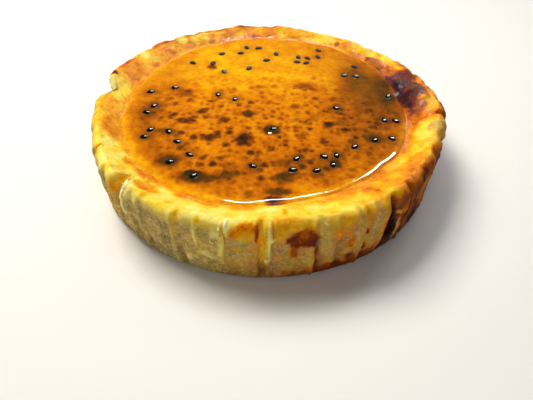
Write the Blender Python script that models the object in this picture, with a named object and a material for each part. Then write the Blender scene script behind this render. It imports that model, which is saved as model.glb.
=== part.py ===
"""Basque cheesecake with a passion fruit topping.

The cake is one solid of revolution-like form: a flat foot, a side that the baking paper pressed into
folds, a puffed rim and a sunken top. The topping fills the sunken top up to its level, with the
seeds of the fruit standing out of it. Sizes in this file are millimetres, and MM turns them to metres.
Azimuths are degrees round the cake, 0 at +X and 90 at +Y, so -90 is the front.
"""

import math
import random
from dataclasses import dataclass

import bmesh
import bpy
import numpy as np
from mathutils import Euler, Matrix, Vector

MM = 0.001

# Driving dimensions of the cake
FOOT_RADIUS = 97.4
CAKE_RADIUS = 99.0
CREST_RADIUS = 94.0
RIM_HEIGHT = 36.8
SHOULDER_HEIGHT = 31.0
RIM_TILT = 0.8  # the front of the rim stands this much above the mean, and the back below it
FOOT_ROUNDING = 1.2
OUTLINE_WAVE = 0.9
CREST_WAVE = 0.55
SIDE_LUMPS = 0.34  # height of the small lumps of the side
RIM_LUMPS = 0.26

# Driving dimensions of the sunken top and of what fills it
POOL_LEVEL = 30.4
POOL_DEPTH = 3.6
POOL_EDGE_DEPTH = 0.9  # how far the cake's surface lies below the level at the pool's edge
BOWL_WIDTH = 8.0  # how far in from the pool's edge the cake's surface levels out
POOL_WAVE = 0.5
TOPPING_GAP = 0.35
TOPPING_EDGE = 0.7  # thickness at the topping's edge
LIP_RISE = 0.5  # how far the topping's rounded lip stands above its level
LIP_INSET = 3.0
FLOOR_RADII = (48.0, 24.0)

# The fruit's seeds
SEED_LENGTH, SEED_WIDTH, SEED_THICKNESS = 4.6, 3.4, 2.3
SEED_SINK = 0.15  # how far a seed's middle lies below the topping's level
SEED_MARGIN = 4.2  # how far in from the pool's edge a seed's middle has to lie
SEED_SCATTER = 7

# How finely the solids are faceted
CAKE_COLUMNS = 204
TOPPING_EVERY = 2  # the topping has a column at every second one of the cake's
COLUMN_CROWDING = 2.2  # how much closer columns stand at a fold


# How the rim departs from a true round: azimuth, how far out and how far up it stands there
RIM_SETTLING = (
    (-180, -2.3, -0.6),
    (-169, -2.3, -0.5),
    (-160, -1.8, 0.0),
    (-150, -0.4, 0.0),
    (-140, 0.5, 0.0),
    (-122, 0.0, 0.0),
    (-55, 0.0, 0.0),
    (-38, -0.4, 0.0),
    (-20, -2.2, -0.3),
    (-14, -1.0, 0.2),
    (-5, 0.2, 0.0),
    (2, -0.8, 0.0),
    (12, -1.7, -0.4),
    (22, -2.5, -1.1),
    (38, -2.6, -1.8),
    (56, -1.6, -1.6),
    (94, -1.2, -1.3),
    (101, -0.2, -0.4),
    (106, -0.7, -0.7),
    (120, 0.3, 0.0),
    (130, -0.8, -0.5),
    (140, -1.4, -0.6),
    (150, -0.3, -0.2),
    (163, 0.6, 0.0),
    (177, -3.0, -0.9),
)


# The outline of the pool: azimuth and radius
POOL_OUTLINE = (
    (-180, 79.4),
    (-150, 79.8),
    (-122, 80.4),
    (-104, 79.8),
    (-90, 78.4),
    (-77, 76.4),
    (-60, 76.8),
    (-45, 77.8),
    (-25, 79.2),
    (-10, 78.8),
    (3, 77.8),
    (16, 79.2),
    (30, 81.6),
    (60, 84.0),
    (90, 84.4),
    (118, 84.0),
    (140, 81.4),
    (160, 79.8),
)


@dataclass(frozen=True)
class Fold:
    """A crease that the baking paper pressed into the side, with the seam of batter beside it."""

    azimuth: float
    before: float = 1.6  # half width on the clockwise side
    after: float = 1.6  # half width on the other side
    depth: float = 1.2
    lean: float = 0.0  # degrees from its foot to its top
    foot: float = -8.0  # height at which it begins
    bite: float = 5.0  # how far it runs in over the rim
    seam: float = 0.4  # how far the seam stands out


FOLDS = (
    Fold(-175, 1.5, 5.0, 1.2, bite=6),
    Fold(-163, 1.2, 2.5, 0.9),
    Fold(-152, 1.5, 4.0, 1.4, bite=7),
    Fold(-141.5, 1.6, 2.4, 1.4, lean=1, bite=6, seam=0.5),
    Fold(-134.2, 3.6, 2.1, 6.6, lean=2, foot=0, bite=14, seam=0.6),
    Fold(-128.4, 1.3, 1.8, 0.8, lean=2, seam=0.6),
    Fold(-124, 1.3, 1.3, 1.1, bite=3),
    Fold(-113, 1.4, 1.8, 1.7, bite=3, seam=0.6),
    Fold(-105.5, 5.0, 4.2, 1.9, foot=10, bite=2, seam=0.0),
    Fold(-100.2, 0.9, 1.2, 0.9, foot=8, bite=3, seam=1.0),
    Fold(-90.8, 1.3, 1.0, 2.4, foot=-2, bite=6, seam=0.8),
    Fold(-88.0, 0.9, 1.1, 0.8, bite=5, seam=0.0),
    Fold(-76.0, 1.3, 1.1, 1.5, bite=5, seam=1.1),
    Fold(-70.0, 1.8, 2.2, 1.4, bite=4),
    Fold(-63.0, 1.3, 2.4, 1.7, bite=4, seam=0.8),
    Fold(-54.6, 2.4, 2.4, 4.0, lean=0.6, foot=-2, bite=4, seam=0.6),
    Fold(-47.0, 1.6, 2.2, 2.0, lean=-1, seam=0.8),
    Fold(-38.0, 1.4, 3.2, 1.7, bite=6),
    Fold(-29.0, 2.2, 1.6, 1.5, bite=6),
    Fold(-21.0, 1.4, 2.6, 1.1),
    Fold(-9.0, 3.2, 2.2, 4.0, bite=12, seam=0.9),
    Fold(-1.5, 1.1, 1.6, 1.2, seam=0.8),
    Fold(9.0, 1.4, 3.0, 1.3),
    Fold(17.5, 1.4, 3.6, 2.0, bite=6, seam=0.7),
    Fold(29.0, 1.5, 5.2, 1.8, bite=6),
    Fold(43.5, 1.4, 5.6, 2.0, bite=6),
    Fold(55.5, 1.6, 4.6, 1.6, bite=6),
    Fold(66.0, 1.4, 4.4, 1.5),
    Fold(77.0, 1.4, 3.6, 1.4),
    Fold(89.0, 4.4, 1.4, 1.7, seam=0.6),
    Fold(99.5, 4.2, 1.3, 1.7),
    Fold(111.0, 4.6, 1.4, 2.0, bite=6, seam=0.6),
    Fold(122.5, 4.6, 1.4, 1.8, bite=6),
    Fold(133.5, 4.6, 1.5, 1.9, bite=6, seam=0.6),
    Fold(144.0, 4.4, 1.4, 1.8, bite=6, seam=0.5),
    Fold(152.5, 3.2, 1.3, 1.4, bite=6),
    Fold(172.0, 7.2, 6.4, 5.2, bite=16, seam=0.4),
)


@dataclass(frozen=True)
class Blister:
    """A puffed bubble of skin on the rim."""

    azimuth: float
    radius: float
    along: float  # half size round the cake
    across: float  # half size towards the middle
    height: float


BLISTERS = (
    Blister(1.5, 85.0, 13.5, 6.0, 5.6),
    Blister(15.0, 82.6, 8.0, 3.2, 2.4),
    Blister(34.0, 85.2, 7.0, 2.8, 2.0),
    Blister(52.0, 87.5, 5.0, 3.0, 2.2),
)


@dataclass(frozen=True)
class SeedGroup:
    """Seeds that lie together, evenly round the middle of their group. A single one lies at the middle."""

    azimuth: float
    radius: float
    count: int = 1
    spread: float = 0.0  # how far each lies from the middle
    start: float = 0.0  # which way from the middle the first one lies, in degrees


SEED_GROUPS = (
    SeedGroup(98, 69.6, 2, 4.3, 176),
    SeedGroup(111, 65.7, 2, 6.2, 10),
    SeedGroup(84, 61),
    SeedGroup(135, 68),
    SeedGroup(126, 59),
    SeedGroup(126, 46),
    SeedGroup(90, 52),
    SeedGroup(105, 43),
    SeedGroup(66, 57.6, 4, 4.5, 34),
    SeedGroup(61, 70.1, 2, 4.6, 84),
    SeedGroup(38, 72),
    SeedGroup(32, 61.8, 2, 3.4, 172),
    SeedGroup(169, 70),
    SeedGroup(162, 58),
    SeedGroup(160, 24.8, 2, 5.9, 342),
    SeedGroup(-176, 65.7, 2, 3.5, 62),
    SeedGroup(-157, 68.7, 2, 3.5, 74),
    SeedGroup(-149, 57.3, 2, 5.2, 306),
    SeedGroup(-132, 64.1, 2, 5.3, 30),
    SeedGroup(-120, 69),
    SeedGroup(-80, 23),
    SeedGroup(-74, 53.3, 2, 4.5, 258),
    SeedGroup(-97, 53),
    SeedGroup(-66, 61),
    SeedGroup(-55, 57.2, 3, 4.1, 162),
    SeedGroup(-39, 59),
    SeedGroup(-12, 69.9, 2, 3.1, 178),
    SeedGroup(-27, 69.2, 2, 4.5, 6),
    SeedGroup(8, 73),
    SeedGroup(-4, 40),
)


def smooth(value, low, high):
    """0 below low, 1 above high, and an S-shaped rise between."""
    share = np.clip((value - low) / (high - low), 0.0, 1.0)
    return share * share * (3.0 - 2.0 * share)


def round_table(azimuth, table, column=1):
    """A value read off a table of azimuths from -180 up, which closes on itself."""
    places = [row[0] for row in table] + [table[0][0] + 360]
    sizes = [row[column] for row in table] + [table[0][column]]
    return np.interp(signed_turn(azimuth, 0.0), places, sizes)


def ripple(azimuth, orders, seed):
    """A wave round the cake between about -1 and 1, from the given numbers of waves to a turn."""
    phases = random.Random(seed)
    total = np.zeros_like(azimuth)
    for order in orders:
        total += np.cos(order * np.radians(azimuth) + phases.uniform(0, math.tau))
    return total / math.sqrt(len(orders))


def lumps(azimuth, across, seed):
    """Small lumps of the crust between about -1 and 1, for places named by azimuth and a size across."""
    draw = random.Random(seed)
    total = np.zeros(np.broadcast(azimuth, across).shape)
    for _ in range(16):
        turns = draw.randint(10, 46)
        slope = draw.uniform(-0.42, 0.42)
        total += np.cos(turns * np.radians(azimuth) + slope * across + draw.uniform(0, math.tau))
    return total / 4.0


def signed_turn(azimuth, start):
    """Degrees from start to azimuth, between -180 and 180."""
    return (azimuth - start + 180.0) % 360.0 - 180.0


def fold_pull(azimuth, height, inset):
    """How far the folds draw the skin in at this azimuth, height and distance in from the side."""
    pull = np.zeros(np.broadcast(azimuth, height, inset).shape)
    for fold in FOLDS:
        turn = signed_turn(azimuth, fold.azimuth + fold.lean * (height / RIM_HEIGHT - 0.5))
        run = np.radians(turn) * CAKE_RADIUS
        groove = np.exp(-((run / np.where(run < 0, fold.before, fold.after)) ** 2))
        seam = np.exp(-(((run + 2.0 * fold.before) / (0.8 * fold.before)) ** 2))
        rise = smooth(height, fold.foot, fold.foot + 7.0)
        reach = np.clip(1.0 - inset / fold.bite, 0.0, 1.0)
        pull += (fold.depth * groove - fold.seam * seam) * rise * reach
    return pull


def pool_radius(azimuth):
    """The outline of the pool."""
    return round_table(azimuth, POOL_OUTLINE) + POOL_WAVE * ripple(azimuth, (7, 11, 16, 23), seed=4)


def column_azimuths():
    """Azimuths of the columns of facets, closer together where a fold needs them."""
    fine = np.arange(0.0, 360.0, 0.05)
    density = np.ones_like(fine)
    for fold in FOLDS:
        reach = np.degrees(1.6 * (fold.before + fold.after) / CAKE_RADIUS)
        density += COLUMN_CROWDING * np.exp(-((signed_turn(fine, fold.azimuth) / reach) ** 2))
    rise = np.concatenate([[0.0], np.cumsum(density)])
    steps = np.linspace(0.0, rise[-1], CAKE_COLUMNS, endpoint=False)
    return np.interp(steps, rise, np.append(fine, 360.0))


def side_rows():
    """Radius and height of the rows up the side, from the foot's corner to the top of the side."""
    rows = [(FOOT_RADIUS - FOOT_ROUNDING, 0.0), (FOOT_RADIUS - 0.3 * FOOT_ROUNDING, 0.3 * FOOT_ROUNDING)]
    for height in np.linspace(FOOT_ROUNDING + 0.8, SHOULDER_HEIGHT, 8):
        swell = math.sin(0.5 * math.pi * height / SHOULDER_HEIGHT)
        rows.append((FOOT_RADIUS + (CAKE_RADIUS - FOOT_RADIUS) * swell, height))
    return rows


def shoulder_rows():
    """Radius and height of the rows round the shoulder, a quarter of an ellipse up to the crest."""
    rows = []
    for turn in np.radians([25.0, 48.0, 69.0, 90.0]):
        radius = CREST_RADIUS + (CAKE_RADIUS - CREST_RADIUS) * math.cos(turn)
        rows.append((radius, SHOULDER_HEIGHT + (RIM_HEIGHT - SHOULDER_HEIGHT) * math.sin(turn)))
    return rows


def rim_fall(share):
    """How the rim falls from its crest at 0 to the pool's edge at 1, rounded at the crest."""
    return 0.35 * share + 0.65 * smooth(share, -0.25, 1.15)


def blister_rise(radius, azimuth):
    """How far the blisters lift the skin of the rim."""
    rise = np.zeros(np.broadcast(radius, azimuth).shape)
    for blister in BLISTERS:
        along = np.radians(signed_turn(azimuth, blister.azimuth)) * blister.radius / blister.along
        across = (radius - blister.radius) / blister.across
        rise += blister.height * np.exp(-((along**2 + across**2) ** 1.5))
    return rise


def bowl_height(radius, edge):
    """Height of the cake's surface under the pool, whose edge is at this radius."""
    share = smooth(edge - radius, -0.3 * BOWL_WIDTH, BOWL_WIDTH)
    start = smooth(0.0, -0.3 * BOWL_WIDTH, BOWL_WIDTH)
    drop = (share - start) / (1.0 - start)
    return POOL_LEVEL - POOL_EDGE_DEPTH - (POOL_DEPTH - POOL_EDGE_DEPTH) * drop


def cake_rings(azimuth):
    """The cake's surface as rings of points, from its foot's corner over the rim to its middle."""
    outline = OUTLINE_WAVE * ripple(azimuth, (2, 3, 5, 7, 9), seed=1)
    outline = outline + round_table(azimuth, RIM_SETTLING, 1)
    crest = CREST_WAVE * ripple(azimuth, (3, 5, 8, 13), seed=2) - RIM_TILT * np.sin(np.radians(azimuth))
    crest = crest + round_table(azimuth, RIM_SETTLING, 2)
    rings = []
    for radius, height in side_rows():
        pull = fold_pull(azimuth, np.full_like(azimuth, height), 0.0)
        pull = pull - SIDE_LUMPS * lumps(azimuth, height, seed=3) * smooth(height, 0.0, 5.0)
        reach = radius + outline * smooth(height, -4.0, 16.0) - pull
        rings.append((reach, np.full_like(azimuth, height)))
    for radius, height in shoulder_rows():
        inset = CAKE_RADIUS - radius
        pull = fold_pull(azimuth, np.full_like(azimuth, height), inset)
        lift = crest * smooth(height, SHOULDER_HEIGHT - 2.0, RIM_HEIGHT)
        rings.append((radius + outline - pull, height + lift - 0.5 * np.maximum(pull, 0.0)))
    edge = pool_radius(azimuth)
    edge_height = POOL_LEVEL - POOL_EDGE_DEPTH
    for share in (0.22, 0.45, 0.68, 0.86):
        radius = (CREST_RADIUS + outline) * (1.0 - share) + edge * share
        pull = fold_pull(azimuth, np.full_like(azimuth, RIM_HEIGHT), CAKE_RADIUS - radius)
        top = (RIM_HEIGHT + crest) * (1.0 - rim_fall(share)) + edge_height * rim_fall(share)
        swell = blister_rise(radius, azimuth) + RIM_LUMPS * lumps(azimuth, radius, seed=5)
        rings.append((radius - 0.8 * pull * (1.0 - share), top + swell - 0.6 * np.maximum(pull, 0.0)))
    for inset in (0.0, 0.35 * BOWL_WIDTH, 0.7 * BOWL_WIDTH, BOWL_WIDTH):
        radius = edge - inset
        rings.append((radius, bowl_height(radius, edge)))
    for radius in FLOOR_RADII:
        rings.append((np.full_like(azimuth, radius), np.full_like(azimuth, POOL_LEVEL - POOL_DEPTH)))
    return rings


def topping_rings(azimuth):
    """The topping's surface as rings of points, from the middle underneath round its edge to the top."""
    edge = pool_radius(azimuth)
    floor = POOL_LEVEL - POOL_DEPTH + TOPPING_GAP
    level_floor = np.full_like(azimuth, floor)
    rings = [(np.full_like(azimuth, radius), level_floor) for radius in reversed(FLOOR_RADII)]
    for inset in (BOWL_WIDTH, 0.7 * BOWL_WIDTH, 0.35 * BOWL_WIDTH, 0.0):
        radius = edge - inset
        rings.append((radius, bowl_height(radius, edge) + TOPPING_GAP))
    edge_top = POOL_LEVEL - POOL_EDGE_DEPTH + TOPPING_GAP + TOPPING_EDGE
    rings.append((edge - 0.15 * LIP_INSET, np.full_like(azimuth, edge_top)))
    for inset, rise in ((0.5 * LIP_INSET, LIP_RISE), (LIP_INSET, 0.6 * LIP_RISE), (2.2 * LIP_INSET, 0.0)):
        rings.append((edge - inset, np.full_like(azimuth, POOL_LEVEL + rise)))
    rings.append((np.full_like(azimuth, FLOOR_RADII[0]), np.full_like(azimuth, POOL_LEVEL)))
    rings.append((np.full_like(azimuth, FLOOR_RADII[1]), np.full_like(azimuth, POOL_LEVEL)))
    return rings


def closed_mesh(name, azimuth, rings, first_height, last_height):
    """A closed mesh through the rings, with a fan to a middle point below the first and above the last."""
    bm = bmesh.new()
    loops = []
    for radius, height in rings:
        x = radius * np.cos(np.radians(azimuth)) * MM
        y = radius * np.sin(np.radians(azimuth)) * MM
        loops.append([bm.verts.new(point) for point in zip(x, y, height * MM)])
    bottom = bm.verts.new((0.0, 0.0, first_height * MM))
    top = bm.verts.new((0.0, 0.0, last_height * MM))
    columns = len(azimuth)
    for column in range(columns):
        after = (column + 1) % columns
        bm.faces.new((bottom, loops[0][after], loops[0][column]))
        bm.faces.new((top, loops[-1][column], loops[-1][after]))
        for lower, upper in zip(loops, loops[1:]):
            bm.faces.new((lower[column], lower[after], upper[after], upper[column]))
    bmesh.ops.recalc_face_normals(bm, faces=bm.faces)
    mesh = bpy.data.meshes.new(name)
    bm.to_mesh(mesh)
    bm.free()
    mesh.shade_smooth()
    mesh.set_sharp_from_angle(angle=math.radians(50))
    return mesh


def material(name, colour, roughness, metallic=0.0):
    """A plain finish of one colour."""
    made = bpy.data.materials.new(name)
    made.use_nodes = True
    shader = made.node_tree.nodes["Principled BSDF"]
    shader.inputs["Base Color"].default_value = (*colour, 1.0)
    shader.inputs["Roughness"].default_value = roughness
    shader.inputs["Metallic"].default_value = metallic
    return made


def add_object(name, mesh, finish):
    """Puts the mesh into the scene as a named object with its finish."""
    mesh.materials.append(finish)
    made = bpy.data.objects.new(name, mesh)
    bpy.context.scene.collection.objects.link(made)
    return made


def build_cake(azimuth):
    """The cake in one piece, from its flat foot to its sunken top."""
    flat_foot = (np.full_like(azimuth, 0.6 * FOOT_RADIUS), np.zeros_like(azimuth))
    rings = [flat_foot, *cake_rings(azimuth)]
    mesh = closed_mesh("cheesecake", azimuth, rings, 0.0, POOL_LEVEL - POOL_DEPTH)
    return add_object("cheesecake", mesh, material("baked_cheesecake", (0.82, 0.48, 0.10), 0.55))


def seed_places():
    """Where the seeds lie: x, y, the turn about Z and the tip, drawn a little off the group's rule."""
    draw = random.Random(SEED_SCATTER)
    places = []
    for group in SEED_GROUPS:
        for number in range(group.count):
            around = math.radians(group.start + 360.0 * number / group.count + draw.uniform(-9.0, 9.0))
            off = group.spread * draw.uniform(0.94, 1.06)
            x = group.radius * math.cos(math.radians(group.azimuth)) + off * math.cos(around)
            y = group.radius * math.sin(math.radians(group.azimuth)) + off * math.sin(around)
            limit = float(pool_radius(np.array([math.degrees(math.atan2(y, x))]))[0]) - SEED_MARGIN
            inwards = min(1.0, limit / math.hypot(x, y))
            places.append((x * inwards, y * inwards, draw.uniform(0.0, math.pi), draw.uniform(-12.0, 12.0)))
    return places


def build_seeds():
    """The seeds as flattened balls in a collection of their own."""
    collection = bpy.data.collections.new("seeds")
    bpy.context.scene.collection.children.link(collection)
    for number, (x, y, turn, tip) in enumerate(seed_places()):
        bm = bmesh.new()
        bmesh.ops.create_uvsphere(bm, u_segments=6, v_segments=4, radius=0.5)
        size = Matrix.Diagonal((SEED_LENGTH * MM, SEED_WIDTH * MM, SEED_THICKNESS * MM, 1.0))
        bmesh.ops.transform(bm, matrix=size, verts=bm.verts)
        tilt = Euler((math.radians(tip), 0.0, turn)).to_matrix().to_4x4()
        place = Matrix.Translation(Vector((x, y, POOL_LEVEL - SEED_SINK)) * MM)
        bmesh.ops.transform(bm, matrix=place @ tilt, verts=bm.verts)
        mesh = bpy.data.meshes.new(f"seed_{number:02d}")
        bm.to_mesh(mesh)
        bm.free()
        collection.objects.link(bpy.data.objects.new(mesh.name, mesh))
    return collection


def build_topping(azimuth):
    """The passion fruit topping up to its level, in one piece with the seeds that stand out of it."""
    rings = topping_rings(azimuth)
    mesh = closed_mesh("topping", azimuth, rings, POOL_LEVEL - POOL_DEPTH + TOPPING_GAP, POOL_LEVEL)
    topping = add_object("topping", mesh, material("passion_fruit", (0.60, 0.24, 0.01), 0.15))
    seeds = build_seeds()
    union = topping.modifiers.new("fuse_seeds", "BOOLEAN")
    union.operation = "UNION"
    union.operand_type = "COLLECTION"
    union.collection = seeds
    union.solver = "MANIFOLD"
    graph = bpy.context.evaluated_depsgraph_get()
    fused = bpy.data.meshes.new_from_object(topping.evaluated_get(graph))
    topping.modifiers.remove(union)
    topping.data = fused
    for seed in list(seeds.objects):
        bpy.data.objects.remove(seed)
    bpy.data.collections.remove(seeds)
    return topping


def main():
    """Clears the scene and builds the cake and its topping."""
    for old in list(bpy.data.objects):
        bpy.data.objects.remove(old)
    azimuth = column_azimuths()
    build_cake(azimuth)
    build_topping(azimuth[::TOPPING_EVERY])


main()
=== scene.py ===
"""Basque cheesecake with a passion fruit topping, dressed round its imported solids.

Sizes are millimetres here, and MM turns them to the metres of the frame. Azimuths are degrees round
the cake, 0 at +X and 90 at +Y, so that -90 is the front. A place on the crust is named by its azimuth
and its reach, the way up the skin of the side and in over the rim: 0 at the foot, 37 at the crest of
the rim and about 55 at the pool's edge.
"""

import logging  # noqa: E402
import math  # noqa: E402
import random  # noqa: E402
from dataclasses import dataclass, field  # noqa: E402
from enum import Enum  # noqa: E402
from typing import Any  # noqa: E402

import bmesh  # noqa: E402
import bpy  # noqa: E402
import numpy as np  # noqa: E402
from mathutils import Euler, Matrix, Vector  # noqa: E402

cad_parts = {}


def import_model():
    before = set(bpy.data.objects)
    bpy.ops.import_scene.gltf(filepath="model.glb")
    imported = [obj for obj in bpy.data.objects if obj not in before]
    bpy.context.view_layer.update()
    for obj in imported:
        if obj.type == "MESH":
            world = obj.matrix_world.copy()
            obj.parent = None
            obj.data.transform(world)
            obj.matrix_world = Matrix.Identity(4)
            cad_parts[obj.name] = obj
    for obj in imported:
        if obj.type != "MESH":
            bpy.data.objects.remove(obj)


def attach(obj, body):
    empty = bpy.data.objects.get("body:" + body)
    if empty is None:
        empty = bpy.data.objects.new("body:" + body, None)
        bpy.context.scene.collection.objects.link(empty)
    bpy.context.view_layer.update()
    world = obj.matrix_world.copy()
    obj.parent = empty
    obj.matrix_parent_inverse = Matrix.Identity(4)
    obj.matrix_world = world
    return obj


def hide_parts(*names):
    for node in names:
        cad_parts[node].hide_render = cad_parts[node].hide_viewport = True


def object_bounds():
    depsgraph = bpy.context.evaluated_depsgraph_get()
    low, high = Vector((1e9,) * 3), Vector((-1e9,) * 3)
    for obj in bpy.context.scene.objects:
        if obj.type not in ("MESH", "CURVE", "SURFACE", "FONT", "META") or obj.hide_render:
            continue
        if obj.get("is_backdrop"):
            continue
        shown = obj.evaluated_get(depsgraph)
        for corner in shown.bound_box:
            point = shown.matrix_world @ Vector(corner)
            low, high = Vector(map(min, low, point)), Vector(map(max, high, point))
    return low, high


MM = 0.001
BODY = "root"
log = logging.getLogger("cheesecake")

Colour = tuple[float, float, float, float]
Box = tuple[Vector, Vector]
Table = tuple[tuple[float, float], ...]  # azimuths in degrees and the value at each
Stops = tuple[tuple[float, str], ...]  # places from 0 to 1 and the sRGB hex colour at each
Settings = dict[str | int, Any]
SeedPlace = tuple[float, float, float, float]  # x and y in mm, turn about Z in radians, tip in degrees

CREST_REACH = 37.0  # the reach of the rim's crest
POOL_REACH = 55.0  # that of the pool's edge
REACH_SUM = 131.0  # what the radius and the reach of a place inside the crest come to, about


def linear(code: str) -> Colour:
    """Turns an sRGB hex colour to linear light.

    Args:
        code: Six hex digits after a hash sign.

    Returns:
        Red, green and blue in linear light, and an alpha of 1.
    """
    parts = [int(code[start : start + 2], 16) / 255.0 for start in (1, 3, 5)]
    light = [p / 12.92 if p <= 0.04045 else ((p + 0.055) / 1.055) ** 2.4 for p in parts]
    return (light[0], light[1], light[2], 1.0)


def smooth(value: np.ndarray, low: float, high: float) -> np.ndarray:
    """Gives 0 below low, 1 above high, and an S-shaped rise between."""
    share = np.clip((value - low) / (high - low), 0.0, 1.0)
    return share * share * (3.0 - 2.0 * share)


def signed_turn(azimuth: np.ndarray, start: float | np.ndarray) -> np.ndarray:
    """Gives the degrees from start to each azimuth, between -180 and 180."""
    return (azimuth - start + 180.0) % 360.0 - 180.0


def run_from(azimuth: np.ndarray, start: float | np.ndarray, radius: float | np.ndarray) -> np.ndarray:
    """Gives the way in mm from start to each azimuth, round a circle of this radius."""
    return np.radians(signed_turn(azimuth, start)) * radius


def round_table(azimuth: np.ndarray, table: Table) -> np.ndarray:
    """Reads a value off a table of azimuths and values that closes on itself.

    Args:
        azimuth: Where to read it, in degrees.
        table: Pairs of an azimuth from -180 to below 180 and the value there, in order.

    Returns:
        The value at each azimuth.
    """
    turned = (azimuth + 180.0) % 360.0 - 180.0
    places = [place for place, _ in table] + [table[0][0] + 360.0]
    values = [value for _, value in table] + [table[0][1]]
    return np.interp(np.where(turned < places[0], turned + 360.0, turned), places, values)


def ripple(azimuth: np.ndarray, orders: tuple[int, ...], seed: int) -> np.ndarray:
    """Makes a wave round the cake between about -1 and 1.

    Args:
        azimuth: Where to read it, in degrees.
        orders: Numbers of waves to a turn.
        seed: Seeds the waves' phases.

    Returns:
        The wave's height at each azimuth.
    """
    phases = random.Random(seed)
    total = np.zeros_like(azimuth)
    for order in orders:
        total += np.cos(order * np.radians(azimuth) + phases.uniform(0, math.tau))
    return total / math.sqrt(len(orders))


def lumps(azimuth: np.ndarray, across: np.ndarray, seed: int) -> np.ndarray:
    """Makes the small lumps of the crust that the solid has too.

    Args:
        azimuth: Where to read them, in degrees.
        across: The height or radius that goes with it, in mm.
        seed: Seeds the waves that they are made of.

    Returns:
        Heights between about -1 and 1.
    """
    draw = random.Random(seed)
    total = np.zeros(np.broadcast(azimuth, across).shape)
    for _ in range(16):
        turns = draw.randint(10, 46)
        slope = draw.uniform(-0.42, 0.42)
        total += np.cos(turns * np.radians(azimuth) + slope * across + draw.uniform(0, math.tau))
    return total / 4.0


def grain(points: np.ndarray, size: float, octaves: int, seed: int) -> np.ndarray:
    """Makes soft noise in space, for relief with no direction of its own.

    Args:
        points: Places in mm, with x, y and z along the last axis.
        size: Width of the largest lumps in mm.
        octaves: How many times it is laid over itself at half the size and half the height.
        seed: Seeds the noise.

    Returns:
        Values between about -1 and 1.
    """
    total = np.zeros(points.shape[:-1])
    for octave in range(octaves):
        scaled = points * (2.0**octave / size) + 17.3 * (octave + seed)
        corner = np.floor(scaled).astype(np.int64)
        part = scaled - corner
        part = part * part * (3.0 - 2.0 * part)
        layer = np.zeros(points.shape[:-1])
        for step in np.ndindex(2, 2, 2):
            near = corner + np.array(step)
            mixed = near[..., 0] * 374761393 + near[..., 1] * 668265263 + near[..., 2] * 974711 + seed
            mixed = (mixed ^ (mixed >> 13)) * 1274126177
            value = ((mixed ^ (mixed >> 16)) & 0xFFFF) / 32767.5 - 1.0
            weight = np.ones(points.shape[:-1])
            for axis in range(3):
                weight = weight * (part[..., axis] if step[axis] else 1.0 - part[..., axis])
            layer += value * weight
        total += layer * 0.5**octave
    return total * 0.9


class Finish(Enum):
    """The finishes, each with the name of its material."""

    CRUST = "browned_custard_skin"
    GLAZE = "passion_fruit_jelly"
    SEED = "passion_fruit_seed"
    CRUMB = "baked_custard_crumb"
    FLOOR = "pale_matt_floor"


def add_node(
    tree: bpy.types.NodeTree, kind: str, values: Settings | None = None, output: str | int = 0
) -> bpy.types.NodeSocket:
    """Adds a node with its settings and links.

    Args:
        tree: The material's node tree.
        kind: Blender's name for the kind of node, after ShaderNode.
        values: Its own properties by name and its inputs by name or number, where a socket is linked.
        output: Which of its outputs to give.

    Returns:
        That output, through which its node can be reached too.
    """
    node = tree.nodes.new(f"ShaderNode{kind}")
    for name, value in (values or {}).items():
        if isinstance(value, bpy.types.NodeSocket):
            tree.links.new(value, node.inputs[name])
        elif isinstance(name, str) and name in node.bl_rna.properties:
            setattr(node, name, value)
        else:
            node.inputs[name].default_value = value
    return node.outputs[output]


def set_stops(ramp: bpy.types.NodeSocket, stops: Stops) -> None:
    """Gives a colour ramp its stops.

    Args:
        ramp: The ramp's output.
        stops: Pairs of a place from 0 to 1 and an sRGB hex colour, in order.
    """
    elements = ramp.node.color_ramp.elements
    while len(elements) > 1:
        elements.remove(elements[-1])
    elements[0].position, elements[0].color = stops[0][0], linear(stops[0][1])
    for place, code in stops[1:]:
        elements.new(place).color = linear(code)


def span(low: float, high: float, start: float, stop: float) -> Settings:
    """Names the settings that carry the range low to high over to start to stop."""
    return {"From Min": low, "From Max": high, "To Min": start, "To Max": stop}


def fine(size_mm: float, detail: float, rough: float = 0.55) -> Settings:
    """Names the settings of noise whose largest features are this wide."""
    return {"Scale": 1.0 / (size_mm * MM), "Detail": detail, "Roughness": rough}


def new_material(finish: Finish) -> tuple[bpy.types.Material, bpy.types.NodeTree, bpy.types.Node]:
    """Starts a material.

    Args:
        finish: The finish, whose name it gets.

    Returns:
        The material, its node tree and its shader.
    """
    made = bpy.data.materials.new(finish.value)
    made.use_nodes = True
    return made, made.node_tree, made.node_tree.nodes["Principled BSDF"]


def set_inputs(shader: bpy.types.Node, values: dict[str, Any]) -> None:
    """Sets or links the shader's inputs.

    Args:
        shader: The shader.
        values: A value, or the socket that drives it, by the input's name.
    """
    for name, value in values.items():
        if isinstance(value, bpy.types.NodeSocket):
            shader.id_data.links.new(value, shader.inputs[name])
        else:
            shader.inputs[name].default_value = value


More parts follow.
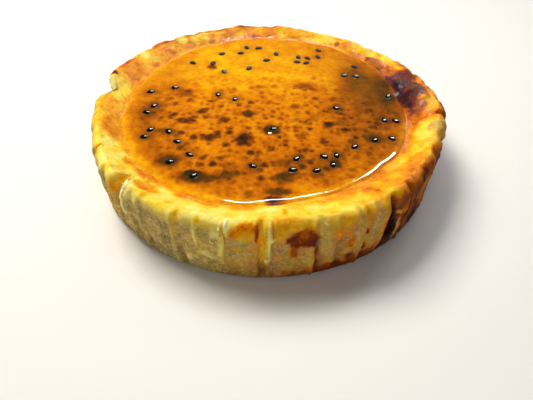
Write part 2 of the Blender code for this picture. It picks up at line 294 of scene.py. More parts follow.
@dataclass(frozen=True)
class BrownedCustardSkin:
    """Cream cheese custard with the skin that a hot oven gave it.

    It is a set custard of fat and egg, so light goes a few millimetres into it, and its skin runs from
    cream where the paper kept the heat off, through gold and orange, to purple black where it scorched.
    The attributes say, place by place, how brown it is (bake), how much the paper greyed it (drab), how
    much painted shade darkens that towards the foot (seep), how moist it is (wet) and how many fine
    bubbles left it rosy (foam); in one patch at the right that rosy tint is a painted pinkish sheen.
    """

    stops: Stops = (
        (0.00, "#fff6ba"),
        (0.12, "#ffee80"),
        (0.25, "#fedc42"),
        (0.38, "#fbb40e"),
        (0.50, "#f08c02"),
        (0.62, "#c46002"),
        (0.74, "#853602"),
        (0.86, "#562529"),
        (1.00, "#261012"),
    )
    drab: str = "#c6a15a"  # where the paper's face left the skin dull
    dark_tan_and_foot_shade: str = "#8a6e3c"  # a darker tan, in soft patches at random and, towards the foot, as painted shade
    cream: str = "#fdf0b6"  # the open custard that shows as specks on the papered side, and in part painted highlight on their raised points
    rosy: str = "#f0aa68"  # skin over fine bubbles, and in one patch on the right a painted pinkish sheen
    patch_mm: float = 8.0  # width of the soft patches of browning
    speck_mm: float = 1.9  # width of the specks of browning
    crinkle_mm: float = 3.2  # distance between the fine crinkles of the moist skin
    pore_mm: float = 0.9  # width of the open pores
    patch_bake: float = 0.11  # how far the patches move the browning either way
    speck_bake: float = 0.045  # how far the specks move it
    crinkle_bake: float = 0.08  # how much browner a crinkle is
    pore_cream_and_highlight: float = 0.26  # how plainly the papered side's pores show cream on the raised points of their relief, in part as painted highlight
    fleck_cream_and_highlight: float = 0.34  # and how plainly its larger flecks do, in the same way
    pits_dry: float = 0.60  # strength of the pores' relief on dry skin
    pits_wet: float = 0.05  # and on moist skin
    roughness_dry: float = 0.60
    roughness_wet: float = 0.35
    film_weight: float = 0.22  # of the film of fat and syrup on the moist skin
    film_roughness: float = 0.09

    def build(self) -> bpy.types.Material:
        """Makes the material.

        Returns:
            The material, for meshes that carry the attributes bake, drab, seep, wet and foam.
        """
        made, tree, shader = new_material(Finish.CRUST)
        place = add_node(tree, "TexCoord", None, "Object")
        bake, drab, foot_shade, wet, foam = (
            add_node(tree, "Attribute", {"attribute_name": name}, "Fac")
            for name in ("bake", "drab", "foot_shade", "wet", "foam")
        )
        patch = add_node(tree, "TexNoise", {"Vector": place, **fine(self.patch_mm, 4.0, 0.6)})
        speck = add_node(tree, "TexNoise", {"Vector": place, **fine(self.speck_mm, 2.0)})
        pore = add_node(tree, "TexNoise", {"Vector": place, **fine(self.pore_mm, 3.0, 0.6)})
        line = self.crinkles(tree, place, bake)
        patches = span(0.25, 0.75, -self.patch_bake, self.patch_bake)
        patches = add_node(tree, "MapRange", {"Value": patch, **patches})
        specks = span(0.3, 0.7, -self.speck_bake, self.speck_bake)
        specks = add_node(tree, "MapRange", {"Value": speck, **specks})
        uneven = add_node(tree, "Math", {"operation": "ADD", 0: patches, 1: specks})
        browner = {"operation": "MULTIPLY_ADD", 0: line, 1: self.crinkle_bake, 2: uneven}
        uneven = add_node(tree, "Math", browner)
        total = add_node(tree, "Math", {"operation": "ADD", "use_clamp": True, 0: bake, 1: uneven})
        ramp = add_node(tree, "ValToRGB", {"Fac": total})
        set_stops(ramp, self.stops)
        rgb = {"data_type": "RGBA"}
        # drab and a darker tan in soft patches at random, with painted shade towards the foot
        dry = add_node(tree, "MapRange", {"Value": patch, **span(0.38, 0.60, 0.0, 1.0)})
        dry = add_node(tree, "Math", {"operation": "SUBTRACT", "use_clamp": True, 0: dry, 1: foot_shade})
        papered = add_node(tree, "Mix", {**rgb, 0: dry, 6: linear(self.dark_tan_and_foot_shade), 7: linear(self.drab)}, 2)
        # painted shade in the hollows of the specks' relief
        shade = add_node(tree, "MapRange", {"Value": speck, **span(0.30, 0.52, 0.84, 1.0)})
        papered = add_node(tree, "Mix", {**rgb, "blend_type": "MULTIPLY", 0: 1.0, 6: papered, 7: shade}, 2)
        # cream on the raised points of the pores and specks: in part the open custard, in part painted
        # highlight
        highlit_cream = add_node(tree, "MapRange", {"Value": pore, **span(0.50, 0.70, 0.0, self.pore_cream_and_highlight)})
        highlit_flecks = add_node(tree, "MapRange", {"Value": speck, **span(0.50, 0.70, 0.0, self.fleck_cream_and_highlight)})
        highlit_cream = add_node(tree, "Math", {"operation": "ADD", "use_clamp": True, 0: highlit_cream, 1: highlit_flecks})
        papered = add_node(tree, "Mix", {**rgb, 0: highlit_cream, 6: papered, 7: linear(self.cream)}, 2)
        colour = add_node(tree, "Mix", {**rgb, 0: drab, 6: ramp, 7: papered}, 2)
        bubbled = add_node(tree, "MapRange", {"Value": speck, **span(0.38, 0.58, 0.25, 1.0)})
        bubbled = add_node(tree, "Math", {"operation": "MULTIPLY", 0: bubbled, 1: foam})
        colour = add_node(tree, "Mix", {**rgb, 0: bubbled, 6: colour, 7: linear(self.rosy)}, 2)
        pitted = add_node(tree, "MapRange", {"Value": wet, **span(0.0, 1.0, self.pits_dry, self.pits_wet)})
        relief = add_node(tree, "Bump", {"Distance": 0.5 * MM, "Height": pore, "Strength": pitted})
        for height, strength, height_mm in ((speck, 0.55, 0.9), (line, 0.5, 0.5)):
            bump = {"Strength": strength, "Distance": height_mm * MM, "Height": height, "Normal": relief}
            relief = add_node(tree, "Bump", bump)
        moisture = span(0.0, 1.0, self.roughness_dry, self.roughness_wet)
        rough = add_node(tree, "MapRange", {"Value": wet, **moisture})
        film = add_node(tree, "MapRange", {"Value": wet, **span(0.45, 1.0, 0.0, self.film_weight)})
        set_inputs(shader, {"Base Color": colour, "Roughness": rough, "Normal": relief, "IOR": 1.42})
        set_inputs(shader, {"Specular IOR Level": 0.05, "Coat Weight": film, "Coat IOR": 1.40})
        set_inputs(shader, {"Coat Roughness": self.film_roughness, "Coat Normal": relief})
        set_inputs(shader, {"Subsurface Weight": 0.15, "Subsurface Scale": 1.8 * MM})
        set_inputs(shader, {"Subsurface Radius": (1.0, 0.62, 0.25)})
        return made

    def crinkles(
        self, tree: bpy.types.NodeTree, place: bpy.types.NodeSocket, bake: bpy.types.NodeSocket
    ) -> bpy.types.NodeSocket:
        """Draws the fine crinkles of the browned skin.

        Args:
            tree: The material's node tree.
            place: Where, from the texture coordinates.
            bake: How brown the skin is.

        Returns:
            1 on a crinkle, and 0 beside it or where the skin is pale.
        """
        noise = add_node(tree, "TexNoise", {"Vector": place, **fine(self.crinkle_mm, 2.0, 0.5)})
        off = add_node(tree, "Math", {"operation": "SUBTRACT", 0: noise, 1: 0.5})
        off = add_node(tree, "Math", {"operation": "ABSOLUTE", 0: off})
        line = add_node(tree, "MapRange", {"Value": off, **span(0.0, 0.035, 1.0, 0.0)})
        browned = add_node(tree, "MapRange", {"Value": bake, **span(0.30, 0.50, 0.0, 1.0)})
        return add_node(tree, "Math", {"operation": "MULTIPLY", 0: line, 1: browned})


@dataclass(frozen=True)
class PassionFruitJelly:
    """Sieved passion fruit pulp, set to a clear jelly over the browned top.

    It is wet and flat, so it gives sharp highlights, and the browned top shows through it as orange with
    round brown spots. The attribute tone says how dark that is, olive where the pulp is greenish, and
    spotty how plain the top's small caramel spots are.
    """

    stops: Stops = (
        (0.00, "#ffd400"),
        (0.14, "#fab800"),
        (0.28, "#ea9600"),
        (0.42, "#d67800"),
        (0.56, "#b05800"),
        (0.70, "#743a04"),
        (0.84, "#40200a"),
        (1.00, "#1c0e08"),
    )
    olive: str = "#4e400a"
    cloud_mm: float = 9.0  # width of the soft clouds in it
    mottle_mm: float = 2.6  # width of the browned top's mottling
    speck_mm: float = 1.1  # width of the fine speckle of the top beneath
    spot_mm: float = 6.2  # distance between the caramel spots
    spot_tone: float = 0.40  # how much darker a caramel spot is
    spot_green: float = 0.22  # how much greener the pulp over it is
    roughness: float = 0.06

    def build(self) -> bpy.types.Material:
        """Makes the material.

        Returns:
            The material, for meshes that carry the attributes tone, olive and spotty.
        """
        made, tree, shader = new_material(Finish.GLAZE)
        place = add_node(tree, "TexCoord", None, "Object")
        tone, olive, spotty = (
            add_node(tree, "Attribute", {"attribute_name": name}, "Fac")
            for name in ("tone", "olive", "spotty")
        )
        cloud = add_node(tree, "TexNoise", {"Vector": place, **fine(self.cloud_mm, 3.0)})
        mottle = add_node(tree, "TexNoise", {"Vector": place, **fine(self.mottle_mm, 2.0)})
        speck = add_node(tree, "TexNoise", {"Vector": place, **fine(self.speck_mm, 1.0)})
        total = tone
        for noise, reach in ((cloud, 0.11), (mottle, 0.06), (speck, 0.03)):
            change = add_node(tree, "MapRange", {"Value": noise, **span(0.27, 0.73, -reach, reach)})
            total = add_node(tree, "Math", {"operation": "ADD", 0: total, 1: change})
        large = self.spots(tree, place, self.spot_mm, 0.0)
        small = self.spots(tree, place, 0.66 * self.spot_mm, 3.7)
        small = add_node(tree, "Math", {"operation": "MULTIPLY", 0: small, 1: 0.6})
        spots = add_node(tree, "Math", {"operation": "MAXIMUM", 0: large, 1: small})
        spots = add_node(tree, "Math", {"operation": "MULTIPLY", 0: spots, 1: spotty})
        blend = {"operation": "MULTIPLY_ADD", "use_clamp": True, 0: spots}
        total = add_node(tree, "Math", {**blend, 1: self.spot_tone, 2: total})
        ramp = add_node(tree, "ValToRGB", {"Fac": total})
        set_stops(ramp, self.stops)
        green = add_node(tree, "Math", {**blend, 1: self.spot_green, 2: olive})
        colour = add_node(tree, "Mix", {"data_type": "RGBA", 0: green, 6: ramp, 7: linear(self.olive)}, 2)
        ripples = add_node(tree, "Bump", {"Strength": 0.22, "Distance": 0.3 * MM, "Height": mottle})
        set_inputs(shader, {"Base Color": colour, "Normal": ripples})
        set_inputs(shader, {"Roughness": self.roughness, "IOR": 1.36})
        set_inputs(shader, {"Subsurface Weight": 0.08, "Subsurface Scale": 1.2 * MM})
        set_inputs(shader, {"Subsurface Radius": (1.0, 0.5, 0.08)})
        return made

    def spots(
        self, tree: bpy.types.NodeTree, place: bpy.types.NodeSocket, apart_mm: float, shift: float
    ) -> bpy.types.NodeSocket:
        """Strews round soft spots of uneven size and strength.

        Args:
            tree: The material's node tree.
            place: Where, from the texture coordinates.
            apart_mm: The distance between them.
            shift: Moves them by so many mm, so that two strewings differ.

        Returns:
            0 between the spots, up to 1 in them.
        """
        sway = add_node(tree, "TexNoise", {"Vector": place, **fine(2.4, 1.0)})
        sway = add_node(tree, "MapRange", {"Value": sway, **span(0.25, 0.75, -0.10, 0.10)})
        move = (shift * MM, 0.6 * shift * MM, shift * MM)
        moved = add_node(tree, "VectorMath", {"operation": "ADD", 0: place, 1: move})
        cells = {"Vector": moved, "Scale": 1.0 / (apart_mm * MM), "Randomness": 0.9}
        far = add_node(tree, "TexVoronoi", cells)
        broken = add_node(tree, "Math", {"operation": "ADD", 0: far, 1: sway})
        shape = {"interpolation_type": "SMOOTHSTEP", **span(0.08, 0.56, 1.0, 0.0)}
        spot = add_node(tree, "MapRange", {"Value": broken, **shape})
        draw = add_node(tree, "SeparateColor", {"Color": far.node.outputs["Color"]})
        strength = add_node(tree, "MapRange", {"Value": draw, **span(0.05, 0.70, 0.20, 1.0)})
        return add_node(tree, "Math", {"operation": "MULTIPLY", 0: spot, 1: strength})


@dataclass(frozen=True)
class PassionFruitSeed:
    """The hard black seed coat, brown black and wet with juice, so that it glints."""

    dark: str = "#080403"
    brown: str = "#1c0e08"
    grain_mm: float = 0.7  # width of the coat's mottling
    wet_roughness: float = 0.05  # of the seeds in front, which stand out of the jelly
    dull_roughness: float = 0.85  # of those at the back, which a skin of pulp covers

    def build(self) -> bpy.types.Material:
        """Makes the material.

        Returns:
            The material, which reads no attribute of the mesh.
        """
        made, tree, shader = new_material(Finish.SEED)
        place = add_node(tree, "TexCoord", None, "Object")
        back = add_node(tree, "SeparateXYZ", {"Vector": place}, "Y")
        dullness = span(25.0 * MM, 42.0 * MM, self.wet_roughness, self.dull_roughness)
        rough = add_node(tree, "MapRange", {"Value": back, **dullness})
        mottling = add_node(tree, "TexNoise", {"Vector": place, **fine(self.grain_mm, 2.0)})
        ramp = add_node(tree, "ValToRGB", {"Fac": mottling})
        set_stops(ramp, ((0.45, self.dark), (0.75, self.brown)))
        set_inputs(shader, {"Base Color": ramp, "Roughness": rough, "IOR": 1.45, "Specular IOR Level": 0.35})
        return made


@dataclass(frozen=True)
class BakedCustardCrumb:
    """Crumbs torn off the custard under the skin: dry, open and pale, with a few browned ones."""

    pale: str = "#f3dc90"
    brown: str = "#d48a2a"
    crumb_mm: float = 3.0  # distance over which the crumbs' colour changes
    roughness: float = 0.75

    def build(self) -> bpy.types.Material:
        """Makes the material.

        Returns:
            The material, which reads no attribute of the mesh.
        """
        made, tree, shader = new_material(Finish.CRUMB)
        place = add_node(tree, "TexCoord", None, "Object")
        change = add_node(tree, "TexNoise", {"Vector": place, **fine(self.crumb_mm, 2.0)})
        ramp = add_node(tree, "ValToRGB", {"Fac": change})
        set_stops(ramp, ((0.5, self.pale), (0.8, self.brown)))
        set_inputs(shader, {"Base Color": ramp, "Roughness": self.roughness, "Specular IOR Level": 0.05})
        set_inputs(shader, {"Subsurface Weight": 0.2, "Subsurface Scale": 1.0 * MM})
        return made


@dataclass(frozen=True)
class PaleMattFloor:
    """Painted board under the cake: a plain, even, pale surface."""

    colour: str = "#eeece8"
    grain_mm: float = 16.0  # width of the roller's faint waves in the paint
    roughness: float = 0.8

    def build(self) -> bpy.types.Material:
        """Makes the material.

        Returns:
            The material, which reads no attribute of the mesh.
        """
        made, tree, shader = new_material(Finish.FLOOR)
        place = add_node(tree, "TexCoord", None, "Object")
        paint = add_node(tree, "TexNoise", {"Vector": place, **fine(self.grain_mm, 2.0)})
        relief = add_node(tree, "Bump", {"Strength": 0.05, "Distance": 0.1 * MM, "Height": paint})
        set_inputs(shader, {"Base Color": linear(self.colour), "Normal": relief, "Roughness": self.roughness})
        return made


@dataclass(frozen=True)
class Fold:
    """A crease that the baking paper pressed into the side, with the seam of batter beside it."""

    azimuth: float
    before: float = 1.6  # half width in mm on the clockwise side
    after: float = 1.6  # half width on the other side
    depth: float = 1.2
    lean: float = 0.0  # degrees from its foot to its top
    foot: float = -8.0  # height at which it begins
    bite: float = 5.0  # how far it runs in over the rim
    seam: float = 0.4  # how far the seam stands out


# The folds of the solid, in order round the cake from the left over the front
FOLDS: tuple[Fold, ...] = (
    Fold(-175, 1.5, 5.0, 1.2, bite=6),
    Fold(-163, 1.2, 2.5, 0.9),
    Fold(-152, 1.5, 4.0, 1.4, bite=7),
    Fold(-141.5, 1.6, 2.4, 1.4, lean=1, bite=6, seam=0.5),
    Fold(-134.2, 3.6, 2.1, 6.6, lean=2, foot=0, bite=14, seam=0.6),
    Fold(-128.4, 1.3, 1.8, 0.8, lean=2, seam=0.6),
    Fold(-124, 1.3, 1.3, 1.1, bite=3),
    Fold(-113, 1.4, 1.8, 1.7, bite=3, seam=0.6),
    Fold(-105.5, 5.0, 4.2, 1.9, foot=10, bite=2, seam=0.0),
    Fold(-100.2, 0.9, 1.2, 0.9, foot=8, bite=3, seam=1.0),
    Fold(-90.8, 1.3, 1.0, 2.4, foot=-2, bite=6, seam=0.8),
    Fold(-88.0, 0.9, 1.1, 0.8, bite=5, seam=0.0),
    Fold(-76.0, 1.3, 1.1, 1.5, bite=5, seam=1.1),
    Fold(-70.0, 1.8, 2.2, 1.4, bite=4),
    Fold(-63.0, 1.3, 2.4, 1.7, bite=4, seam=0.8),
    Fold(-54.6, 2.4, 2.4, 4.0, lean=0.6, foot=-2, bite=4, seam=0.6),
    Fold(-47.0, 1.6, 2.2, 2.0, lean=-1, seam=0.8),
    Fold(-38.0, 1.4, 3.2, 1.7, bite=6),
    Fold(-29.0, 2.2, 1.6, 1.5, bite=6),
    Fold(-21.0, 1.4, 2.6, 1.1),
    Fold(-9.0, 3.2, 2.2, 4.0, bite=12, seam=0.9),
    Fold(-1.5, 1.1, 1.6, 1.2, seam=0.8),
    Fold(9.0, 1.4, 3.0, 1.3),
    Fold(17.5, 1.4, 3.6, 2.0, bite=6, seam=0.7),
    Fold(29.0, 1.5, 5.2, 1.8, bite=6),
    Fold(43.5, 1.4, 5.6, 2.0, bite=6),
    Fold(55.5, 1.6, 4.6, 1.6, bite=6),
    Fold(66.0, 1.4, 4.4, 1.5),
    Fold(77.0, 1.4, 3.6, 1.4),
    Fold(89.0, 4.4, 1.4, 1.7, seam=0.6),
    Fold(99.5, 4.2, 1.3, 1.7),
    Fold(111.0, 4.6, 1.4, 2.0, bite=6, seam=0.6),
    Fold(122.5, 4.6, 1.4, 1.8, bite=6),
    Fold(133.5, 4.6, 1.5, 1.9, bite=6, seam=0.6),
    Fold(144.0, 4.4, 1.4, 1.8, bite=6, seam=0.5),
    Fold(152.5, 3.2, 1.3, 1.4, bite=6),
    Fold(172.0, 7.2, 6.4, 5.2, bite=16, seam=0.4),
)


@dataclass(frozen=True)
class Blister:
    """A puffed bubble of skin on the rim."""

    azimuth: float
    radius: float
    along: float  # half size round the cake in mm
    across: float  # half size towards the middle
    height: float


# The solid's blisters, all at the right
BLISTERS: tuple[Blister, ...] = (
    Blister(1.5, 85.0, 13.5, 6.0, 5.6),
    Blister(15.0, 82.6, 8.0, 3.2, 2.4),
    Blister(34.0, 85.2, 7.0, 2.8, 2.0),
    Blister(52.0, 87.5, 5.0, 3.0, 2.2),
)


@dataclass(frozen=True)
class SeedGroup:
    """Seeds that lie together, evenly round the middle of their group. A single one lies at the middle."""

    azimuth: float
    radius: float
    count: int = 1
    spread: float = 0.0  # mm of each from the middle
    start: float = 0.0  # which way from the middle the first one lies, in degrees


# The solid's seeds
SEED_GROUPS: tuple[SeedGroup, ...] = (
    SeedGroup(98, 69.6, 2, 4.3, 176),
    SeedGroup(111, 65.7, 2, 6.2, 10),
    SeedGroup(84, 61),
    SeedGroup(135, 68),
    SeedGroup(126, 59),
    SeedGroup(126, 46),
    SeedGroup(90, 52),
    SeedGroup(105, 43),
    SeedGroup(66, 57.6, 4, 4.5, 34),
    SeedGroup(61, 70.1, 2, 4.6, 84),
    SeedGroup(38, 72),
    SeedGroup(32, 61.8, 2, 3.4, 172),
    SeedGroup(169, 70),
    SeedGroup(162, 58),
    SeedGroup(160, 24.8, 2, 5.9, 342),
    SeedGroup(-176, 65.7, 2, 3.5, 62),
    SeedGroup(-157, 68.7, 2, 3.5, 74),
    SeedGroup(-149, 57.3, 2, 5.2, 306),
    SeedGroup(-132, 64.1, 2, 5.3, 30),
    SeedGroup(-120, 69),
    SeedGroup(-80, 23),
    SeedGroup(-74, 53.3, 2, 4.5, 258),
    SeedGroup(-97, 53),
    SeedGroup(-66, 61),
    SeedGroup(-55, 57.2, 3, 4.1, 162),
    SeedGroup(-39, 59),
    SeedGroup(-12, 69.9, 2, 3.1, 178),
    SeedGroup(-27, 69.2, 2, 4.5, 6),
    SeedGroup(8, 73),
    SeedGroup(-4, 40),
)


# How the rim departs from a true round: azimuth, how far out and how far up it stands there
RIM_SETTLING: tuple[tuple[float, float, float], ...] = (
    (-180, -2.3, -0.6), (-169, -2.3, -0.5), (-160, -1.8, 0.0), (-150, -0.4, 0.0),
    (-140, 0.5, 0.0), (-122, 0.0, 0.0), (-55, 0.0, 0.0), (-38, -0.4, 0.0), (-20, -2.2, -0.3),
    (-14, -1.0, 0.2), (-5, 0.2, 0.0), (2, -0.8, 0.0), (12, -1.7, -0.4), (22, -2.5, -1.1),
    (38, -2.6, -1.8), (56, -1.6, -1.6), (94, -1.2, -1.3), (101, -0.2, -0.4), (106, -0.7, -0.7),
    (120, 0.3, 0.0), (130, -0.8, -0.5), (140, -1.4, -0.6), (150, -0.3, -0.2), (163, 0.6, 0.0),
    (177, -3.0, -0.9),
)


# The outline of the pool: azimuth and radius
POOL_OUTLINE: Table = (
    (-180, 79.4), (-150, 79.8), (-122, 80.4), (-104, 79.8), (-90, 78.4), (-77, 76.4), (-60, 76.8),
    (-45, 77.8), (-25, 79.2), (-10, 78.8), (3, 77.8), (16, 79.2), (30, 81.6), (60, 84.0),
    (90, 84.4), (118, 84.0), (140, 81.4), (160, 79.8),
)


@dataclass(frozen=True)
class CakeForm:
    """The form that the solids have, read at any place, so that the dressed meshes follow them."""

    foot_radius: float = 97.4
    cake_radius: float = 99.0
    crest_radius: float = 94.0
    rim_height: float = 36.8
    shoulder_height: float = 31.0
    rim_tilt: float = 0.8  # the front of the rim stands this much above the mean, and the back below it
    foot_rounding: float = 1.2
    outline_wave: float = 0.9
    crest_wave: float = 0.55
    side_lumps: float = 0.34  # height of the small lumps of the side
    rim_lumps: float = 0.26
    pool_level: float = 30.4
    pool_depth: float = 3.6
    pool_edge_depth: float = 0.9  # how far the crust lies below the level at the pool's edge
    bowl_width: float = 8.0  # how far in from the pool's edge the crust levels out
    pool_wave: float = 0.5
    column_crowding: float = 2.2  # how much closer columns stand at a fold

    def columns(self, count: int) -> np.ndarray:
        """Spaces columns round the cake, closer together at a fold.

        Args:
            count: How many columns.

        Returns:
            Their azimuths in degrees.
        """
        turns = np.arange(0.0, 360.0, 0.05)
        density = np.ones_like(turns)
        for fold in FOLDS:
            width = np.degrees(1.6 * (fold.before + fold.after) / self.cake_radius)
            density += self.column_crowding * np.exp(-((signed_turn(turns, fold.azimuth) / width) ** 2))
        rise = np.concatenate([[0.0], np.cumsum(density)])
        steps = np.linspace(0.0, rise[-1], count, endpoint=False)
        return np.interp(steps, rise, np.append(turns, 360.0))

    def fold_pull(self, azimuth: np.ndarray, height: np.ndarray, inset: np.ndarray | float) -> np.ndarray:
        """Gives how far the folds draw the skin in.

        Args:
            azimuth: Where, in degrees.
            height: The height there, in mm.
            inset: The distance in from the side, in mm.

        Returns:
            The pull in mm, below 0 on a seam.
        """
        pull = np.zeros(np.broadcast(azimuth, height, inset).shape)
        for fold in FOLDS:
            middle = fold.azimuth + fold.lean * (height / self.rim_height - 0.5)
            run = run_from(azimuth, middle, self.cake_radius)
            groove = np.exp(-((run / np.where(run < 0, fold.before, fold.after)) ** 2))
            seam = np.exp(-(((run + 2.0 * fold.before) / (0.8 * fold.before)) ** 2))
            rise = smooth(height, fold.foot, fold.foot + 7.0)
            hold = np.clip(1.0 - inset / fold.bite, 0.0, 1.0)
            pull += (fold.depth * groove - fold.seam * seam) * rise * hold
        return pull

    def pool_edge(self, azimuth: np.ndarray) -> np.ndarray:
        """Gives the pool's radius at each azimuth."""
        return round_table(azimuth, POOL_OUTLINE) + self.pool_wave * ripple(azimuth, (7, 11, 16, 23), seed=4)

    def outline(self, azimuth: np.ndarray) -> np.ndarray:
        """Gives how far the side bulges at each azimuth."""
        settled = round_table(azimuth, tuple((turn, out) for turn, out, _ in RIM_SETTLING))
        return self.outline_wave * ripple(azimuth, (2, 3, 5, 7, 9), seed=1) + settled

    def crest(self, azimuth: np.ndarray) -> np.ndarray:
        """Gives how far the rim's crest stands above its mean height.

        Args:
            azimuth: Where, in degrees.

        Returns:
            The height over the mean at each azimuth, in mm.
        """
        settled = round_table(azimuth, tuple((turn, up) for turn, _, up in RIM_SETTLING))
        wave = self.crest_wave * ripple(azimuth, (3, 5, 8, 13), seed=2) + settled
        return wave - self.rim_tilt * np.sin(np.radians(azimuth))

    def side(self, azimuth: np.ndarray, height: float) -> tuple[np.ndarray, np.ndarray]:
        """Works out a row of the side.

        Args:
            azimuth: Where, in degrees.
            height: How high up the side the row lies.

        Returns:
            Its radius and its height at each azimuth, in mm.
        """
        swell = math.sin(0.5 * math.pi * height / self.shoulder_height)
        radius = self.foot_radius + (self.cake_radius - self.foot_radius) * swell
        level = np.full_like(azimuth, height)
        pull = self.fold_pull(azimuth, level, 0.0)
        rise = smooth(level, 0.0, 5.0)
        pull = pull - self.side_lumps * lumps(azimuth, level, seed=3) * rise
        return radius + self.outline(azimuth) * smooth(level, -4.0, 16.0) - pull, level

    def shoulder(self, azimuth: np.ndarray, turn: float) -> tuple[np.ndarray, np.ndarray]:
        """Works out a row of the shoulder.

        Args:
            azimuth: Where, in degrees.
            turn: How far round the shoulder the row lies, 0 at the side and 90 at the crest.

        Returns:
            Its radius and its height at each azimuth, in mm.
        """
        out, up = self.cake_radius - self.crest_radius, self.rim_height - self.shoulder_height
        radius = self.crest_radius + out * math.cos(math.radians(turn))
        height = self.shoulder_height + up * math.sin(math.radians(turn))
        level = np.full_like(azimuth, height)
        pull = self.fold_pull(azimuth, level, self.cake_radius - radius)
        lift = self.crest(azimuth) * smooth(level, self.shoulder_height - 2.0, self.rim_height)
        fade = 1.0 - turn / 90.0
        rough = self.side_lumps * lumps(azimuth, level, seed=3) * fade
        return radius + self.outline(azimuth) - pull + rough, height + lift - 0.5 * np.maximum(pull, 0.0)

    def rim(self, azimuth: np.ndarray, share: float) -> tuple[np.ndarray, np.ndarray]:
        """Works out a row of the rim.

        Args:
            azimuth: Where, in degrees.
            share: How far in the row lies, 0 at the crest and 1 at the pool's edge.

        Returns:
            Its radius and its height at each azimuth, in mm.
        """
        edge = self.pool_edge(azimuth)
        radius = (self.crest_radius + self.outline(azimuth)) * (1.0 - share) + edge * share
        level = np.full_like(azimuth, self.rim_height)
        pull = self.fold_pull(azimuth, level, self.cake_radius - radius)
        fall = 0.35 * share + 0.65 * float(smooth(np.array(share), -0.25, 1.15))
        edge_height = self.pool_level - self.pool_edge_depth
        top = (self.rim_height + self.crest(azimuth)) * (1.0 - fall) + edge_height * fall
        fade = math.sin(math.pi * min(1.0, share + 0.2))
        swell = self.blister_rise(radius, azimuth)
        swell = swell + self.rim_lumps * lumps(azimuth, radius, seed=5) * fade
        return radius - 0.8 * pull * (1.0 - share), top + swell - 0.6 * np.maximum(pull, 0.0)

    def bowl(self, azimuth: np.ndarray, inset: float) -> tuple[np.ndarray, np.ndarray]:
        """Works out a row of the sunken top.

        Args:
            azimuth: Where, in degrees.
            inset: How far in from the pool's edge the row lies.

        Returns:
            Its radius and its height at each azimuth, in mm.
        """
        low, high = -0.3 * self.bowl_width, self.bowl_width
        share, start = (float(smooth(np.array(at), low, high)) for at in (inset, 0.0))
        drop = (share - start) / (1.0 - start)
        height = self.pool_level - self.pool_edge_depth - (self.pool_depth - self.pool_edge_depth) * drop
        return self.pool_edge(azimuth) - inset, np.full_like(azimuth, height)

    def blister_rise(self, radius: np.ndarray, azimuth: np.ndarray) -> np.ndarray:
        """Gives how far the blisters lift the skin of the rim.

        Args:
            radius: How far from the middle, in mm.
            azimuth: Where, in degrees.

        Returns:
            The lift in mm.
        """
        rise = np.zeros(np.broadcast(radius, azimuth).shape)
        for blister in BLISTERS:
            along = run_from(azimuth, blister.azimuth, blister.radius) / blister.along
            across = (radius - blister.radius) / blister.across
            rise += blister.height * np.exp(-((along**2 + across**2) ** 1.5))
        return rise


@dataclass(frozen=True)
class Crease:
    """A narrow ridge or groove that the paper left on the skin."""

    azimuth: float
    low: float  # reach at which it starts
    high: float  # reach at which it ends
    rise: float  # mm above the skin, below 0 for a groove
    width: float = 0.8  # half width in mm
    lean: float = 0.0  # degrees from its low to its high end


@dataclass(frozen=True)
class Patch:
    """A patch of the skin that browned otherwise than what lies round it."""

    azimuth: float
    reach: float
    along: float  # half size round the cake in mm
    across: float  # half size up the skin in mm
    bake: float
    drab: float = 0.0
    wet: float = 0.0
    foam: float = 0.0
    soft: float = 0.35  # share of its size over which it fades
    strength: float = 1.0


# The ridges and grooves of the side and, last, of the torn place at the right
CREASES: tuple[Crease, ...] = (
    Crease(-131.6, 4, 37, 1.1, 0.9, lean=3),
    Crease(-136.6, 16, 36, 0.6, 0.8, lean=1),
    Crease(-124.0, 0, 21, -0.5, 0.6),
    Crease(-118.0, 3, 26, 0.4, 0.9, lean=1),
    Crease(-112.8, 0, 8, -1.4, 0.9),
    Crease(-107.9, 18, 36, 0.8, 0.7, lean=0.8),
    Crease(-100.8, 13, 38, 1.2, 0.6, lean=2.6),
    Crease(-104.0, 12.5, 14.5, 0.9, 3.4),
    Crease(-103.2, 25, 31, 0.9, 1.0),
    Crease(-92.0, 29, 39, -0.5, 0.4),
    Crease(-90.8, 0, 9, -1.2, 1.0),
    Crease(-89.2, 12, 36, 1.2, 0.7, lean=1.6),
    Crease(-88.0, 26, 32, 0.9, 0.9),
    Crease(-83.5, 4, 16, 0.35, 0.6),
    Crease(-75.6, 14, 40, 0.9, 1.1, lean=-1.0),
    Crease(-74.0, 20, 36, 0.6, 0.6),
    Crease(-71.0, 14, 32, 0.5, 0.9, lean=1),
    Crease(-65.4, 4, 38, 0.8, 1.2, lean=-2),
    Crease(-63.2, 8, 28, -0.5, 0.5, lean=1),
    Crease(-60.6, 6, 37, 0.5, 1.4, lean=-2),
    Crease(-57.4, 8, 36, 0.5, 0.8),
    Crease(-51.9, 0, 32, 1.2, 0.7, lean=1),
    Crease(-46.0, 4, 34, 0.5, 0.8, lean=-2),
    Crease(-42.0, 2, 36, 0.7, 0.9, lean=-2),
    Crease(-34.0, 4, 36, 0.6, 0.9, lean=-2),
    Crease(-25.0, 2, 36, 0.7, 0.8, lean=2),
    Crease(-6.8, 26, 36, 1.0, 0.8),
    Crease(-11.0, 28, 40, 1.0, 0.8),
    Crease(-17.6, 28, 40, 1.0, 0.9),
    Crease(-14.4, 34, 43, -1.2, 2.0),
)

